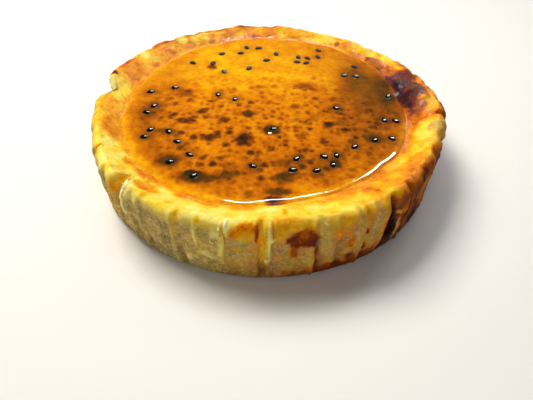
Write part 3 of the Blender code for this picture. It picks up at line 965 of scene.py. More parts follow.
# A later patch lies over those before it
SKIN_PATCHES: tuple[Patch, ...] = (
    Patch(-134.6, 16, 3.0, 16, 0.34, drab=0.50, soft=0.4),
    Patch(-135.2, 38, 2.6, 4.0, 0.32, drab=0.25, soft=0.5),
    Patch(-138.6, 41.5, 2.4, 4.0, 0.30, drab=0.20, soft=0.5),
    Patch(-134.6, 34, 1.4, 2.4, 0.37, soft=0.6),
    Patch(-136.2, 30.5, 1.1, 3.4, 0.43, soft=0.6),
    Patch(-138.2, 23, 1.0, 5.0, 0.60, soft=0.6),
    Patch(-131.2, 30, 1.4, 9, 0.05, soft=0.4),
    Patch(-132.6, 17, 1.1, 8, 0.10, drab=0.3, soft=0.5),
    Patch(-129.0, 33.6, 3.2, 2.2, 0.08, drab=0.30, soft=0.6),
    Patch(-142.5, 39, 3.6, 5, 0.18, soft=0.5),
    Patch(-151.8, 36, 1.0, 3.4, 0.60, soft=0.5),
    Patch(-124.2, 36.2, 1.8, 1.6, 0.34, soft=0.7),
    Patch(-118.8, 35.4, 3.4, 1.4, 0.27, soft=0.7),
    Patch(-113.3, 34.6, 1.2, 3.0, 0.31, soft=0.5),
    Patch(-113.8, 27.0, 0.9, 4.4, 0.32, drab=0.45, soft=0.6),
    Patch(-107.2, 34.6, 1.4, 1.4, 0.31, soft=0.5),
    Patch(-105.0, 23, 5.0, 8, 0.26, drab=0.80, soft=0.3),
    Patch(-108.2, 26.5, 0.8, 6.0, 0.05, drab=0.10, soft=0.8),
    Patch(-102.6, 30.5, 2.0, 2.0, 0.05, drab=0.15, soft=0.9),
    Patch(-100.9, 22, 0.8, 8.0, 0.08, drab=0.10, soft=0.7),
    Patch(-99.6, 34.5, 1.0, 4.0, 0.07, soft=0.6),
    Patch(-105.2, 14.4, 4.4, 1.3, 0.05, drab=0.15, soft=0.8),
    Patch(-110.6, 10.5, 1.7, 2.6, 0.07, drab=0.25, soft=0.9),
    Patch(-94.8, 33.9, 5.0, 1.7, 0.50, soft=0.3),
    Patch(-95.6, 33.4, 2.0, 1.5, 0.63, soft=0.5),
    Patch(-97.6, 31.8, 2.0, 1.6, 0.57, soft=0.4),
    Patch(-94.6, 31.0, 3.8, 2.2, 0.40, soft=0.5, strength=0.8),
    Patch(-92.0, 31.5, 0.8, 4.0, 0.70, soft=0.5),
    Patch(-97.1, 22.8, 1.4, 1.3, 0.60, soft=0.6, strength=0.8),
    Patch(-92.7, 23.2, 1.0, 1.9, 0.48, drab=0.3, soft=0.6, strength=0.7),
    Patch(-93.7, 10.6, 2.2, 2.2, 0.52, drab=0.4, soft=0.8, strength=0.7),
    Patch(-97.0, 7.6, 2.6, 1.5, 0.50, drab=0.5, soft=0.8, strength=0.7),
    Patch(-85.2, 5, 1.2, 1.8, 0.56, drab=0.3, soft=0.8, strength=0.8),
    Patch(-90.7, 25, 1.6, 17, 0.33, soft=0.35),
    Patch(-90.9, 38.5, 1.6, 4.5, 0.32, soft=0.4),
    Patch(-89.0, 26, 0.8, 10, 0.06, drab=0.10, soft=0.7),
    Patch(-88.1, 29, 1.4, 1.6, 0.04, soft=0.8),
    Patch(-89.8, 13.5, 1.0, 2.2, 0.05, soft=0.8),
    Patch(-82.4, 34.2, 8.0, 2.6, 0.41, soft=0.35),
    Patch(-86.0, 31.5, 2.2, 3.0, 0.36, soft=0.6),
    Patch(-80.6, 27.4, 7.2, 5.4, 0.78, soft=0.16),
    Patch(-78.7, 30.2, 3.2, 3.2, 0.78, soft=0.25),
    Patch(-80.5, 29.8, 2.1, 2.6, 0.65, soft=0.5),
    Patch(-80.9, 26.0, 1.6, 1.6, 0.67, soft=0.6),
    Patch(-82.7, 19.8, 1.9, 3.6, 0.67, soft=0.35),
    Patch(-76.9, 18.5, 1.2, 5.0, 0.69, soft=0.35),
    Patch(-80.0, 17.6, 1.0, 1.0, 0.60, soft=0.5),
    Patch(-86.2, 17.2, 1.0, 1.0, 0.44, soft=0.5),
    Patch(-82.2, 12.4, 0.9, 0.9, 0.46, soft=0.5),
    Patch(-72.0, 34.2, 14.0, 2.6, 0.30, drab=0.25, soft=0.8, strength=0.6),
    Patch(-75.7, 33, 2.0, 3.6, 0.24, drab=0.50, soft=0.4),
    Patch(-74.6, 25, 2.0, 8, 0.29, drab=0.68, soft=0.5),
    Patch(-71.0, 30.5, 3.4, 3.2, 0.38, drab=0.10, soft=0.9, strength=0.8),
    Patch(-68.9, 33.5, 2.0, 2.0, 0.40, soft=0.6),
    Patch(-70.8, 27.2, 2.0, 3.4, 0.46, soft=0.7),
    Patch(-68.3, 27, 1.2, 2.0, 0.50, soft=0.6),
    Patch(-67.2, 20.5, 2.0, 4.2, 0.64, soft=0.5),
    Patch(-65.4, 24, 1.8, 13, 0.34, drab=0.70, soft=0.4),
    Patch(-63.2, 31, 0.9, 6, 0.42, soft=0.4),
    Patch(-62.8, 22.6, 1.7, 2.4, 0.72, soft=0.35),
    Patch(-62.6, 12, 1.6, 3.4, 0.66, soft=0.5),
    Patch(-60.0, 24, 2.6, 12, 0.37, drab=0.74, soft=0.4),
    Patch(-57.2, 24, 1.5, 7, 0.58, soft=0.6),
    # the deep fold at -54.6: its dark patches are browning and in part painted shade, and the small pale
    # patch on the fin beside it, at reach 26, is a painted highlight
    Patch(-54.4, 17, 4.0, 15, 0.94, wet=0.2, soft=0.25),
    Patch(-54.6, 31, 2.4, 3.5, 0.74, soft=0.4),
    Patch(-53.2, 37.5, 2.4, 2.4, 0.32, soft=0.5),
    Patch(-50.4, 11, 1.8, 9, 0.34, drab=0.5, soft=0.4),
    Patch(-51.6, 26, 1.6, 1.0, 0.20, drab=0.3, soft=0.8, strength=0.8),
    Patch(-47.5, 21, 3.4, 9, 0.90, soft=0.5),
    Patch(-47.0, 31.5, 4.5, 3.2, 0.68, soft=0.5),
    Patch(-45.5, 35.8, 7.5, 2.0, 0.58, soft=0.5),
    # browned, with a rosy tint that is a painted pinkish sheen of the crinkled skin
    Patch(-41.0, 38.5, 8.5, 3.6, 0.54, foam=0.10, soft=0.7),
    Patch(-35.0, 20, 3.4, 14, 0.58, drab=0.25, soft=0.6),
    Patch(-27.0, 30, 2.6, 6, 0.84, soft=0.5),
    Patch(-70.0, 2.0, 26.0, 4.0, 0.80, soft=0.8, strength=0.85),
    Patch(-63.0, 4.0, 9.0, 4.4, 0.76, soft=0.8, strength=0.8),
    Patch(-76.5, 8, 1.6, 3.4, 0.70, soft=0.7),
    Patch(-72.5, 6.0, 3.4, 2.4, 0.72, soft=0.8),
    Patch(-66.8, 9, 2.2, 3.0, 0.74, soft=0.6),
    Patch(-21.5, 34.5, 5.0, 3.4, 0.38, foam=0.4, soft=0.5),
    Patch(-17.0, 35, 6.0, 5.0, 0.36, drab=0.45, soft=0.3),
    Patch(-19.0, 43, 8.0, 6.0, 0.24, soft=0.5),
    Patch(-17.0, 39.0, 3.4, 3.6, 0.34, drab=0.55, soft=0.3),
    Patch(-4.5, 33, 3.4, 2.4, 0.72, soft=0.5),
    Patch(-5.0, 48.5, 5.0, 4.5, 0.72, wet=0.9, foam=0.18, soft=0.5),
    Patch(4.5, 39.5, 6.0, 3.0, 0.49, soft=0.5),
    Patch(17.5, 41.0, 6.5, 6.5, 0.80, soft=0.4),
    Patch(8.5, 45.6, 14.0, 7.4, 0.94, wet=0.95, foam=0.10, soft=0.2),
    Patch(7.0, 52.0, 17.0, 3.8, 0.94, wet=0.95, soft=0.3),
    Patch(21.0, 49.0, 7.0, 7.0, 0.85, wet=0.9, soft=0.4),
    Patch(26.5, 47.5, 7.0, 5.0, 0.56, wet=0.8, soft=0.6),
    Patch(34.5, 49.5, 7.5, 4.6, 0.66, wet=0.9, foam=0.35, soft=0.4),
    Patch(38.5, 49.5, 2.0, 3.0, 0.84, wet=0.9, foam=0.15, soft=0.5),
    Patch(44.0, 51.0, 6.0, 3.4, 0.52, wet=0.9, foam=0.4, soft=0.5),
    Patch(53.0, 46.0, 5.0, 5.6, 0.50, wet=0.8, foam=0.45, soft=0.4),
    Patch(56.6, 46.0, 1.6, 4.4, 0.68, wet=0.8, foam=0.1, soft=0.5),
    Patch(64.0, 44.0, 5.0, 8.0, 0.27, soft=0.5),
    Patch(-86.0, 54.2, 4.8, 2.0, 0.80, wet=0.9, soft=0.5),
    Patch(-127.5, 43.5, 7.0, 5.4, 0.44, wet=0.5, soft=0.35),
    Patch(-117.4, 40.0, 1.6, 1.4, 0.38, soft=0.6),
    Patch(-108.0, 46.5, 14.0, 2.4, 0.20, soft=0.6),
    Patch(-84.5, 44.0, 1.0, 3.0, 0.50, soft=0.6),
    Patch(-164.0, 47.5, 12.5, 9.0, 0.46, wet=0.4, soft=0.3),
    Patch(-163.0, 43.0, 8.0, 3.0, 0.52, soft=0.6),
    Patch(-153.0, 40.5, 8.0, 4.0, 0.14, soft=0.5),
    Patch(171.0, 34.0, 8.0, 7.0, 0.13, drab=0.30, soft=0.3),
    Patch(171.5, 44.0, 9.0, 7.0, 0.27, soft=0.4),
    Patch(172.0, 38.5, 4.0, 3.6, 0.14, drab=0.45, soft=0.5),
    Patch(164.8, 35.5, 1.6, 2.8, 0.92, soft=0.5),
    Patch(128.5, 40.0, 3.6, 4.0, 0.18, soft=0.5),
    Patch(147.5, 39.0, 2.6, 3.4, 0.22, soft=0.5),
    Patch(146.0, 47.0, 2.2, 6.0, 0.30, soft=0.6),
    Patch(138.5, 44.0, 4.2, 3.4, 0.50, foam=0.25, soft=0.6),
    Patch(126.5, 49.0, 3.4, 3.0, 0.46, foam=0.4, soft=0.5),
    Patch(116.0, 49.0, 2.4, 3.0, 0.64, foam=0.2, soft=0.5),
    Patch(107.5, 45.0, 3.4, 3.4, 0.56, foam=0.15, soft=0.6),
    Patch(25.0, 36.2, 6.0, 1.6, 0.68, soft=0.6, strength=0.8),
    Patch(88.0, 36.2, 6.5, 1.6, 0.66, soft=0.6, strength=0.8),
    Patch(100.0, 36.2, 5.0, 1.6, 0.68, soft=0.6, strength=0.8),
    Patch(120.0, 36.2, 8.0, 1.6, 0.62, soft=0.6, strength=0.8),
    Patch(137.0, 36.2, 8.0, 1.6, 0.68, soft=0.6, strength=0.8),
    Patch(158.0, 36.2, 8.0, 1.6, 0.64, soft=0.6, strength=0.8),
)

# How brown the side is round the cake: azimuth and share. From about -54 to -12 its darkness is browning and
# in part painted shade
WALL_BAKE: Table = (
    (-180, 0.34), (-162, 0.26), (-146, 0.24), (-128, 0.19), (-106, 0.19), (-99, 0.4), (-88, 0.42),
    (-80, 0.46), (-62, 0.5), (-54, 0.66), (-46, 0.80), (-41, 0.80), (-27, 0.80), (-12, 0.66),
    (0, 0.56), (25, 0.42), (60, 0.38), (95, 0.42), (140, 0.44), (170, 0.36),
)
# How much the paper greyed it
WALL_DRAB: Table = (
    (-180, 0.6), (-150, 0.75), (-128, 0.9), (-106, 0.86), (-98, 0.78), (-80, 0.74), (-62, 0.64),
    (-54, 0.3), (-46, 0.12), (-25, 0.1), (10, 0.35), (40, 0.55), (90, 0.68), (150, 0.66),
)
# How brown the rim is at its crest
CREST_BAKE: Table = (
    (-180, 0.34), (-172, 0.37), (-158, 0.29), (-148, 0.18), (-130, 0.17), (-118, 0.17),
    (-100, 0.16), (-85, 0.24), (-66, 0.29), (-55, 0.37), (-45, 0.43), (-36, 0.43), (-28, 0.37),
    (-20, 0.32), (-10, 0.41), (8, 0.44), (20, 0.43), (32, 0.34), (43, 0.32), (52, 0.38),
    (61, 0.26), (70, 0.32), (80, 0.38), (100, 0.41), (120, 0.39), (140, 0.4), (160, 0.39),
    (168, 0.34),
)
# How brown it is from there in to the pool
INNER_BAKE: Table = (
    (-180, 0.45), (-168, 0.46), (-150, 0.45), (-128, 0.45), (-105, 0.42), (-90, 0.43),
    (-72, 0.42), (-60, 0.42), (-45, 0.47), (-20, 0.45), (-10, 0.58), (20, 0.62), (30, 0.6),
    (42, 0.54), (60, 0.44), (66, 0.41), (80, 0.46), (105, 0.46), (115, 0.46), (125, 0.42),
    (150, 0.43), (165, 0.43),
)


@dataclass
class MeshGrid:
    """Rows of points round the cake, from which a closed skin is made."""

    azimuth: np.ndarray
    radius: list[np.ndarray] = field(default_factory=list)
    height: list[np.ndarray] = field(default_factory=list)
    reach: list[float] = field(default_factory=list)

    def add(self, row: tuple[np.ndarray, np.ndarray], reach: float) -> None:
        """Adds a row.

        Args:
            row: Its radii and its heights.
            reach: How far up the skin it lies.
        """
        self.radius.append(row[0])
        self.height.append(row[1])
        self.reach.append(reach)

    def add_ring(self, radius: float, height: float, reach: float) -> None:
        """Adds a level row of one radius."""
        self.add((np.full_like(self.azimuth, radius), np.full_like(self.azimuth, height)), reach)

    def points(self) -> np.ndarray:
        """Works out the places of all the rows.

        Returns:
            Rows, columns and x, y and z in mm.
        """
        turn = np.radians(self.azimuth)[None, :]
        radius = np.array(self.radius)
        return np.stack([radius * np.cos(turn), radius * np.sin(turn), np.array(self.height)], axis=-1)


def skin_normals(points: np.ndarray) -> np.ndarray:
    """Works out the outward direction of a grid that runs round the cake and up its skin.

    Args:
        points: Rows, columns and x, y and z.

    Returns:
        Unit vectors in the same layout.
    """
    around = np.roll(points, -1, axis=1) - np.roll(points, 1, axis=1)
    upwards = np.gradient(points, axis=0)
    normal = np.cross(around, upwards)
    return normal / np.maximum(np.linalg.norm(normal, axis=-1, keepdims=True), 1e-9)


def closed_skin(name: str, points: np.ndarray) -> bpy.types.Mesh:
    """Makes a closed mesh through the rows of a grid, with a middle point below its first and above its last.

    Args:
        name: The mesh's name.
        points: Rows, columns and x, y and z in mm.

    Returns:
        The mesh, in metres and shaded smooth, with its two middle points last.
    """
    rows, columns = points.shape[:2]
    middles = [[0.0, 0.0, points[0, :, 2].mean()], [0.0, 0.0, points[-1, :, 2].mean()]]
    places = np.concatenate([points.reshape(-1, 3), middles]) * MM
    column = np.arange(columns)
    after = (column + 1) % columns
    last = (rows - 1) * columns
    quads = []
    for start in range(0, last, columns):
        above = start + columns
        quads.append(np.stack([start + column, start + after, above + after, above + column], 1))
    bottom, top = np.full(columns, rows * columns), np.full(columns, rows * columns + 1)
    fans = [np.stack([bottom, after, column], 1), np.stack([top, last + column, last + after], 1)]
    mesh = bpy.data.meshes.new(name)
    faces = np.concatenate(quads).tolist() + np.concatenate(fans).tolist()
    mesh.from_pydata(places.tolist(), [], faces)
    mesh.update()
    mesh.shade_smooth()
    return mesh


def smooth_mesh(name: str, bm: bmesh.types.BMesh) -> bpy.types.Mesh:
    """Makes a mesh out of a bmesh and lets go of that.

    Args:
        name: The mesh's name.
        bm: Its faces, in metres.

    Returns:
        The mesh, shaded smooth.
    """
    mesh = bpy.data.meshes.new(name)
    bm.to_mesh(mesh)
    bm.free()
    mesh.shade_smooth()
    return mesh


def store(mesh: bpy.types.Mesh, name: str, values: np.ndarray) -> None:
    """Stores a value for each point, repeating the last for the middle points.

    Args:
        mesh: The mesh.
        name: The attribute's name.
        values: Rows and columns of values.
    """
    flat = values.reshape(-1)
    padded = np.concatenate([flat, np.full(len(mesh.vertices) - len(flat), flat[-1])])
    layer = mesh.attributes.new(name, "FLOAT", "POINT")
    layer.data.foreach_set("value", np.clip(padded, 0.0, 1.0).astype(np.float32))


def add_piece(
    name: str, mesh: bpy.types.Mesh, finish: bpy.types.Material, node: str
) -> bpy.types.Object:
    """Puts a mesh into the scene as a piece that stands for a solid.

    Args:
        name: The piece's name.
        mesh: Its mesh.
        finish: Its material.
        node: The solid that it replaces.

    Returns:
        The new object.
    """
    mesh.materials.clear()
    mesh.materials.append(finish)
    piece = bpy.data.objects.new(name, mesh)
    bpy.context.scene.collection.objects.link(piece)
    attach(piece, BODY)
    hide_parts(node)
    return piece


def keep_inside(points: np.ndarray, box: Box) -> np.ndarray:
    """Keeps places in mm inside a box in metres."""
    low, high = np.array(box[0]) / MM, np.array(box[1]) / MM
    return np.clip(points, low, high)


@dataclass
class Crust:
    """The cake's body: foot, paper-folded side, puffed rim and the sunken top under the jelly."""

    form: CakeForm
    box: Box
    columns: int = 860  # how many round the cake
    side_rows: int = 38
    shoulder_rows: int = 9
    rim_rows: int = 26
    wrinkles: int = 110  # how many small ones the paper left
    pits: int = 320
    stray_spots: int = 150
    seed: int = 11  # of the random draws
    side_radius: float = 98.0  # mm, on which the creases' widths are measured
    skin_radius: float = 97.0  # mm, on which those of pores and patches are

    def grid(self) -> MeshGrid:
        """Lays out the rows of the skin from the underside to the sunken top.

        Returns:
            The rows with their reaches, which are below 0 on the underside.
        """
        form = self.form
        azimuth = form.columns(self.columns)
        made = MeshGrid(azimuth)
        for radius in (12.0, 30.0, 50.0, 68.0, 82.0, 91.0):
            made.add_ring(radius, 0.0, radius - self.skin_radius)
        made.add_ring(form.foot_radius - form.foot_rounding, 0.0, -0.6)
        corner = 0.3 * form.foot_rounding
        made.add_ring(form.foot_radius - corner, corner, 0.4)
        for height in np.linspace(form.foot_rounding, form.shoulder_height, self.side_rows):
            made.add(form.side(azimuth, float(height)), float(height))
        for number in range(1, self.shoulder_rows + 1):
            turn = 90.0 * number / self.shoulder_rows
            reach = form.shoulder_height + (CREST_REACH - form.shoulder_height) * number / self.shoulder_rows
            made.add(form.shoulder(azimuth, turn), reach)
        for number in range(1, self.rim_rows + 1):
            share = number / self.rim_rows
            made.add(form.rim(azimuth, share), CREST_REACH + (POOL_REACH - CREST_REACH) * share)
        for inset in (1.0, 2.2, 3.6, 5.0, 6.5, 8.0):
            made.add(form.bowl(azimuth, inset), POOL_REACH + inset)
        for radius in (55.0, 40.0, 25.0, 10.0):
            made.add_ring(radius, form.pool_level - form.pool_depth, REACH_SUM - radius)
        return made

    def crease_relief(self, azimuth: np.ndarray, reach: np.ndarray) -> np.ndarray:
        """Gives the relief of the named creases and of the paper's small wrinkles.

        Args:
            azimuth: Degrees, one row of columns.
            reach: Reach of each row, as a column.

        Returns:
            Heights in mm.
        """
        draw = random.Random(self.seed)
        creases = list(CREASES)
        for _ in range(self.wrinkles):
            low = draw.uniform(0.0, 26.0)
            rise = draw.choice((-1.0, 1.0)) * draw.uniform(0.15, 0.5)
            width = draw.uniform(0.45, 1.1)
            lean = draw.uniform(-3.0, 3.0)
            creases.append(Crease(draw.uniform(-180, 180), low, low + draw.uniform(6, 24), rise, width, lean))
        total = np.zeros(np.broadcast(azimuth, reach).shape)
        for crease in creases:
            half = (crease.high - crease.low) / 2
            along = (reach - (crease.low + crease.high) / 2) / half
            run = run_from(azimuth, crease.azimuth + 0.5 * crease.lean * along, self.side_radius)
            ends = 1.0 - smooth(np.abs(along), 0.55, 1.1)
            total += crease.rise * np.exp(-((run / crease.width) ** 2)) * ends
        return total

    def pit_relief(self, azimuth: np.ndarray, reach: np.ndarray) -> np.ndarray:
        """Gives the relief of the small pores where bubbles of air came out at the paper.

        Args:
            azimuth: Degrees, one row of columns.
            reach: Reach of each row, as a column.

        Returns:
            Heights in mm, none above 0.
        """
        draw = random.Random(self.seed + 1)
        total = np.zeros(np.broadcast(azimuth, reach).shape)
        rows = reach[:, 0]
        for _ in range(self.pits):
            place, turn = draw.uniform(1.0, 52.0), draw.uniform(-180.0, 180.0)
            size, depth = draw.uniform(0.5, 1.3), draw.uniform(0.15, 0.5)
            near = np.abs(rows - place) < 3.0 * size
            run = run_from(azimuth, turn, self.skin_radius)
            total[near] -= depth * np.exp(-((run**2 + (reach[near] - place) ** 2) / size**2))
        return total

    def relief(self, azimuth: np.ndarray, reach: np.ndarray, points: np.ndarray) -> np.ndarray:
        """Gives the fine relief of the skin over the form of the solid.

        Args:
            azimuth: Degrees, one row of columns.
            reach: Reach of each row, as a column.
            points: The places in mm.

        Returns:
            Heights in mm.
        """
        side = smooth(reach, 0.0, 2.5) * (1.0 - smooth(reach, 34.0, 39.0))
        rim = smooth(reach, 33.0, 38.0) * (1.0 - smooth(reach, 51.0, 55.0))
        shown = np.maximum(side, rim)
        total = self.crease_relief(azimuth, reach) * side
        total += self.pit_relief(azimuth, reach) * shown * 0.8
        total += (0.34 * grain(points, 6.0, 2, 21) + 0.34 * grain(points, 2.4, 2, 22)) * side
        total += (0.70 * grain(points, 13.0, 2, 31) + 0.34 * grain(points, 4.5, 3, 32)) * rim
        # the custard is torn open in the notch at the left and on the rim at the right
        notch = np.exp(-((run_from(azimuth, -131.0, self.side_radius) / 3.0) ** 2))
        tear = np.exp(-((run_from(azimuth, -14.0, self.side_radius) / 7.0) ** 2))
        crumbly = notch + 0.8 * tear * rim
        total += 0.9 * crumbly * grain(points, 2.6, 2, 41) * shown * smooth(reach, 4.0, 12.0)
        return total + self.blister_wrinkles(azimuth, reach)

    def blister_wrinkles(self, azimuth: np.ndarray, reach: np.ndarray) -> np.ndarray:
        """Gives the fine wrinkles of the scorched blister and the deep crease between it and the next one.

        Args:
            azimuth: Degrees, one row of columns.
            reach: Reach of each row, as a column.

        Returns:
            Heights in mm.
        """
        run = run_from(azimuth, 2.0, 84.0)
        across = reach - 47.0
        dome = np.exp(-(((run / 14.0) ** 2 + (across / 7.0) ** 2) ** 2))
        wrinkles = 0.24 * np.cos(run * 1.7 + 0.9 * across) * smooth(-across, -4.0, 3.0) * dome
        turn = np.radians(-39.0)  # the crease slants inwards towards the front
        off_x, off_y = run - 15.0, across - 3.0
        along = -off_x * np.cos(turn) - off_y * np.sin(turn)
        away = -off_x * np.sin(turn) + off_y * np.cos(turn)
        crease = -1.7 * np.exp(-((away / 0.8) ** 2)) + 0.7 * np.exp(-(((np.abs(away) - 1.7) / 0.8) ** 2))
        return wrinkles + crease * (1.0 - smooth(np.abs(along), 4.5, 8.0))

    def browning(
        self, azimuth: np.ndarray, reach: np.ndarray, points: np.ndarray, pull: np.ndarray
    ) -> dict[str, np.ndarray]:
        """Works out how the oven and the paper left the skin.

        Args:
            azimuth: Degrees, one row of columns.
            reach: Reach of each row, as a column.
            points: The places in mm.
            pull: How far the folds draw the skin in there, in mm.

        Returns:
            Shares by the names of the attributes that the skin's material reads.
        """
        uneven = grain(points, 14.0, 4, 51)
        top = smooth(reach + 1.6 * uneven, 31.0, 36.0)
        inner = smooth(reach + 3.0 * uneven, 45.5, 53.0)
        wall = round_table(azimuth, WALL_BAKE)
        behind = smooth(np.sin(np.radians(azimuth)), 0.0, 0.7)
        seam, groove = np.clip(-pull, 0.0, 1.0), np.clip(pull, 0.0, 3.0)
        bake = wall * (1 - top) + round_table(azimuth, CREST_BAKE) * top
        bake = bake * (1 - inner) + round_table(azimuth, INNER_BAKE) * inner
        # browner in the folds' grooves and paler on their seams, here and in the drab below: painted shade
        # and painted light that follow the relief
        bake = bake + 0.07 * uneven - 0.05 * seam + 0.03 * groove
        # streaks where the side is brown, a darker foot, in part browning and in part painted shade,
        # and clouds over the top
        streaks = lumps(azimuth * 2.0, reach * 0.5, seed=61) * (1.0 - top)
        bake = bake + streaks * (0.03 + 0.10 * smooth(wall, 0.3, 0.6))
        bake = bake + 0.20 * (1.0 - smooth(reach, 0.5, 5.0)) * smooth(wall, 0.1, 0.5)
        bake = bake + 0.09 * grain(points, 6.5, 2, 52) * top
        drab = round_table(azimuth, WALL_DRAB) * (1 - top) * (1.0 - 0.4 * seam)
        drab = drab + 0.12 * uneven * (1 - top)
        # painted shade, darker towards the foot
        foot_shade = 0.85 * (1.0 - smooth(reach + 3.0 * uneven, 1.0, 19.0))
        moist = smooth(np.abs(signed_turn(azimuth, 150.0)), 26.0, 46.0)  # the back left is drier
        wet = 0.40 * top + 0.50 * smooth(reach + 2.0 * uneven, 44.0, 52.0) * moist
        foam = self.foam(azimuth, reach, points, top * behind)
        for patch in (*SKIN_PATCHES, *self.strays()):
            weight = self.patch_weight(patch, azimuth, reach, points)
            bake = bake + (patch.bake - bake) * weight
            drab = drab + (patch.drab - drab) * weight
            foam = foam + (patch.foam - foam) * weight
            wet = wet + (patch.wet - wet) * weight if patch.wet else wet
        return {"bake": bake, "drab": drab, "foot_shade": foot_shade, "wet": wet, "foam": foam}

    def foam(
        self, azimuth: np.ndarray, reach: np.ndarray, points: np.ndarray, behind: np.ndarray
    ) -> np.ndarray:
        """Gives where fine bubbles left the skin rosy: a line at the back of the pool, and flecks behind it.

        Args:
            azimuth: Degrees, one row of columns.
            reach: Reach of each row, as a column.
            points: The places in mm.
            behind: 1 on the back of the rim.

        Returns:
            Shares from 0 to 1.
        """
        turn = signed_turn(azimuth, 90.0)
        line = np.exp(-(((reach - 52.6) / 1.5) ** 2)) * smooth(-np.abs(turn), -42.0, -30.0)
        line = line * smooth(grain(points, 2.6, 1, 53), -0.55, 0.05)
        flecks = smooth(grain(points, 3.4, 2, 54), 0.25, 0.75) * behind
        return 0.35 * line + 0.05 * flecks

    def strays(self) -> list[Patch]:
        """Draws small browned spots for the side and the rim, smaller and fainter where the front is plain.

        Returns:
            The spots.
        """
        draw = random.Random(self.seed + 2)
        spots = []
        for _ in range(self.stray_spots):
            turn, place = draw.uniform(-180, 180), draw.uniform(1.0, 53.0)
            along, across = draw.uniform(0.8, 3.0), draw.uniform(0.8, 3.0)
            bake, strength = draw.uniform(0.42, 0.66), draw.uniform(0.25, 0.7)
            plain = -145 < turn < -58 and place < 48
            if plain:
                along, across, strength = 0.6 * along, 0.6 * across, 0.3 * strength
            spots.append(Patch(turn, place, along, across, bake, soft=0.8, strength=strength))
        return spots

    def patch_weight(
        self, patch: Patch, azimuth: np.ndarray, reach: np.ndarray, points: np.ndarray
    ) -> np.ndarray:
        """Gives how far a patch covers each place, with a broken edge.

        Args:
            patch: The patch.
            azimuth: Degrees, one row of columns.
            reach: Reach of each row, as a column.
            points: The places in mm.

        Returns:
            Shares from 0 to the patch's strength.
        """
        radius = np.where(reach < CREST_REACH, self.skin_radius, REACH_SUM - reach)
        weight = np.zeros(np.broadcast(azimuth, reach).shape)
        rows = np.abs(reach[:, 0] - patch.reach) < 1.8 * patch.across
        if not rows.any():
            return weight
        run = run_from(azimuth, patch.azimuth, radius[rows])
        far = np.sqrt((run / patch.along) ** 2 + ((reach[rows] - patch.reach) / patch.across) ** 2)
        lump = max(1.6, 0.5 * min(patch.along, patch.across))
        broken = 0.22 * grain(points[rows], lump, 2, 71)
        weight[rows] = (1.0 - smooth(far + broken, 1.0 - patch.soft, 1.0 + patch.soft)) * patch.strength
        return weight

    def build(self, finish: bpy.types.Material) -> bpy.types.Object:
        """Makes the crust and dresses it.

        Args:
            finish: The browned skin.

        Returns:
            The piece.
        """
        grid = self.grid()
        azimuth, reach = grid.azimuth[None, :], np.array(grid.reach)[:, None]
        points = grid.points()
        relief = self.relief(azimuth, reach, points)
        points = keep_inside(points + skin_normals(points) * relief[..., None], self.box)
        points[..., 2] = np.maximum(points[..., 2], 0.0)
        # about the height and the way in from the side that go with each reach
        level, inset = np.clip(reach, 0.0, CREST_REACH), np.clip(reach - 33.0, 0.0, 30.0)
        shares = self.browning(azimuth, reach, points, self.form.fold_pull(azimuth, level, inset))
        under = 1.0 - smooth(reach, -8.0, 0.0)
        shares["bake"] = shares["bake"] * (1 - under) + (0.42 + 0.1 * grain(points, 9.0, 3, 81)) * under
        mesh = closed_skin("crust", points)
        for name, values in shares.items():
            store(mesh, name, values)
        return add_piece("browned_crust", mesh, finish, "cheesecake")


@dataclass(frozen=True)
class Spot:
    """A dark spot of the browned top that shows through the jelly, or a cloud of pulp in it."""

    x: float  # mm, as all its lengths
    y: float
    along: float  # half size across
    across: float  # half size towards the back
    tone: float
    olive: float = 0.0
    soft: float = 0.4  # share of its size over which it fades
    bubble: float = 0.0  # mm that the jelly stands up over it


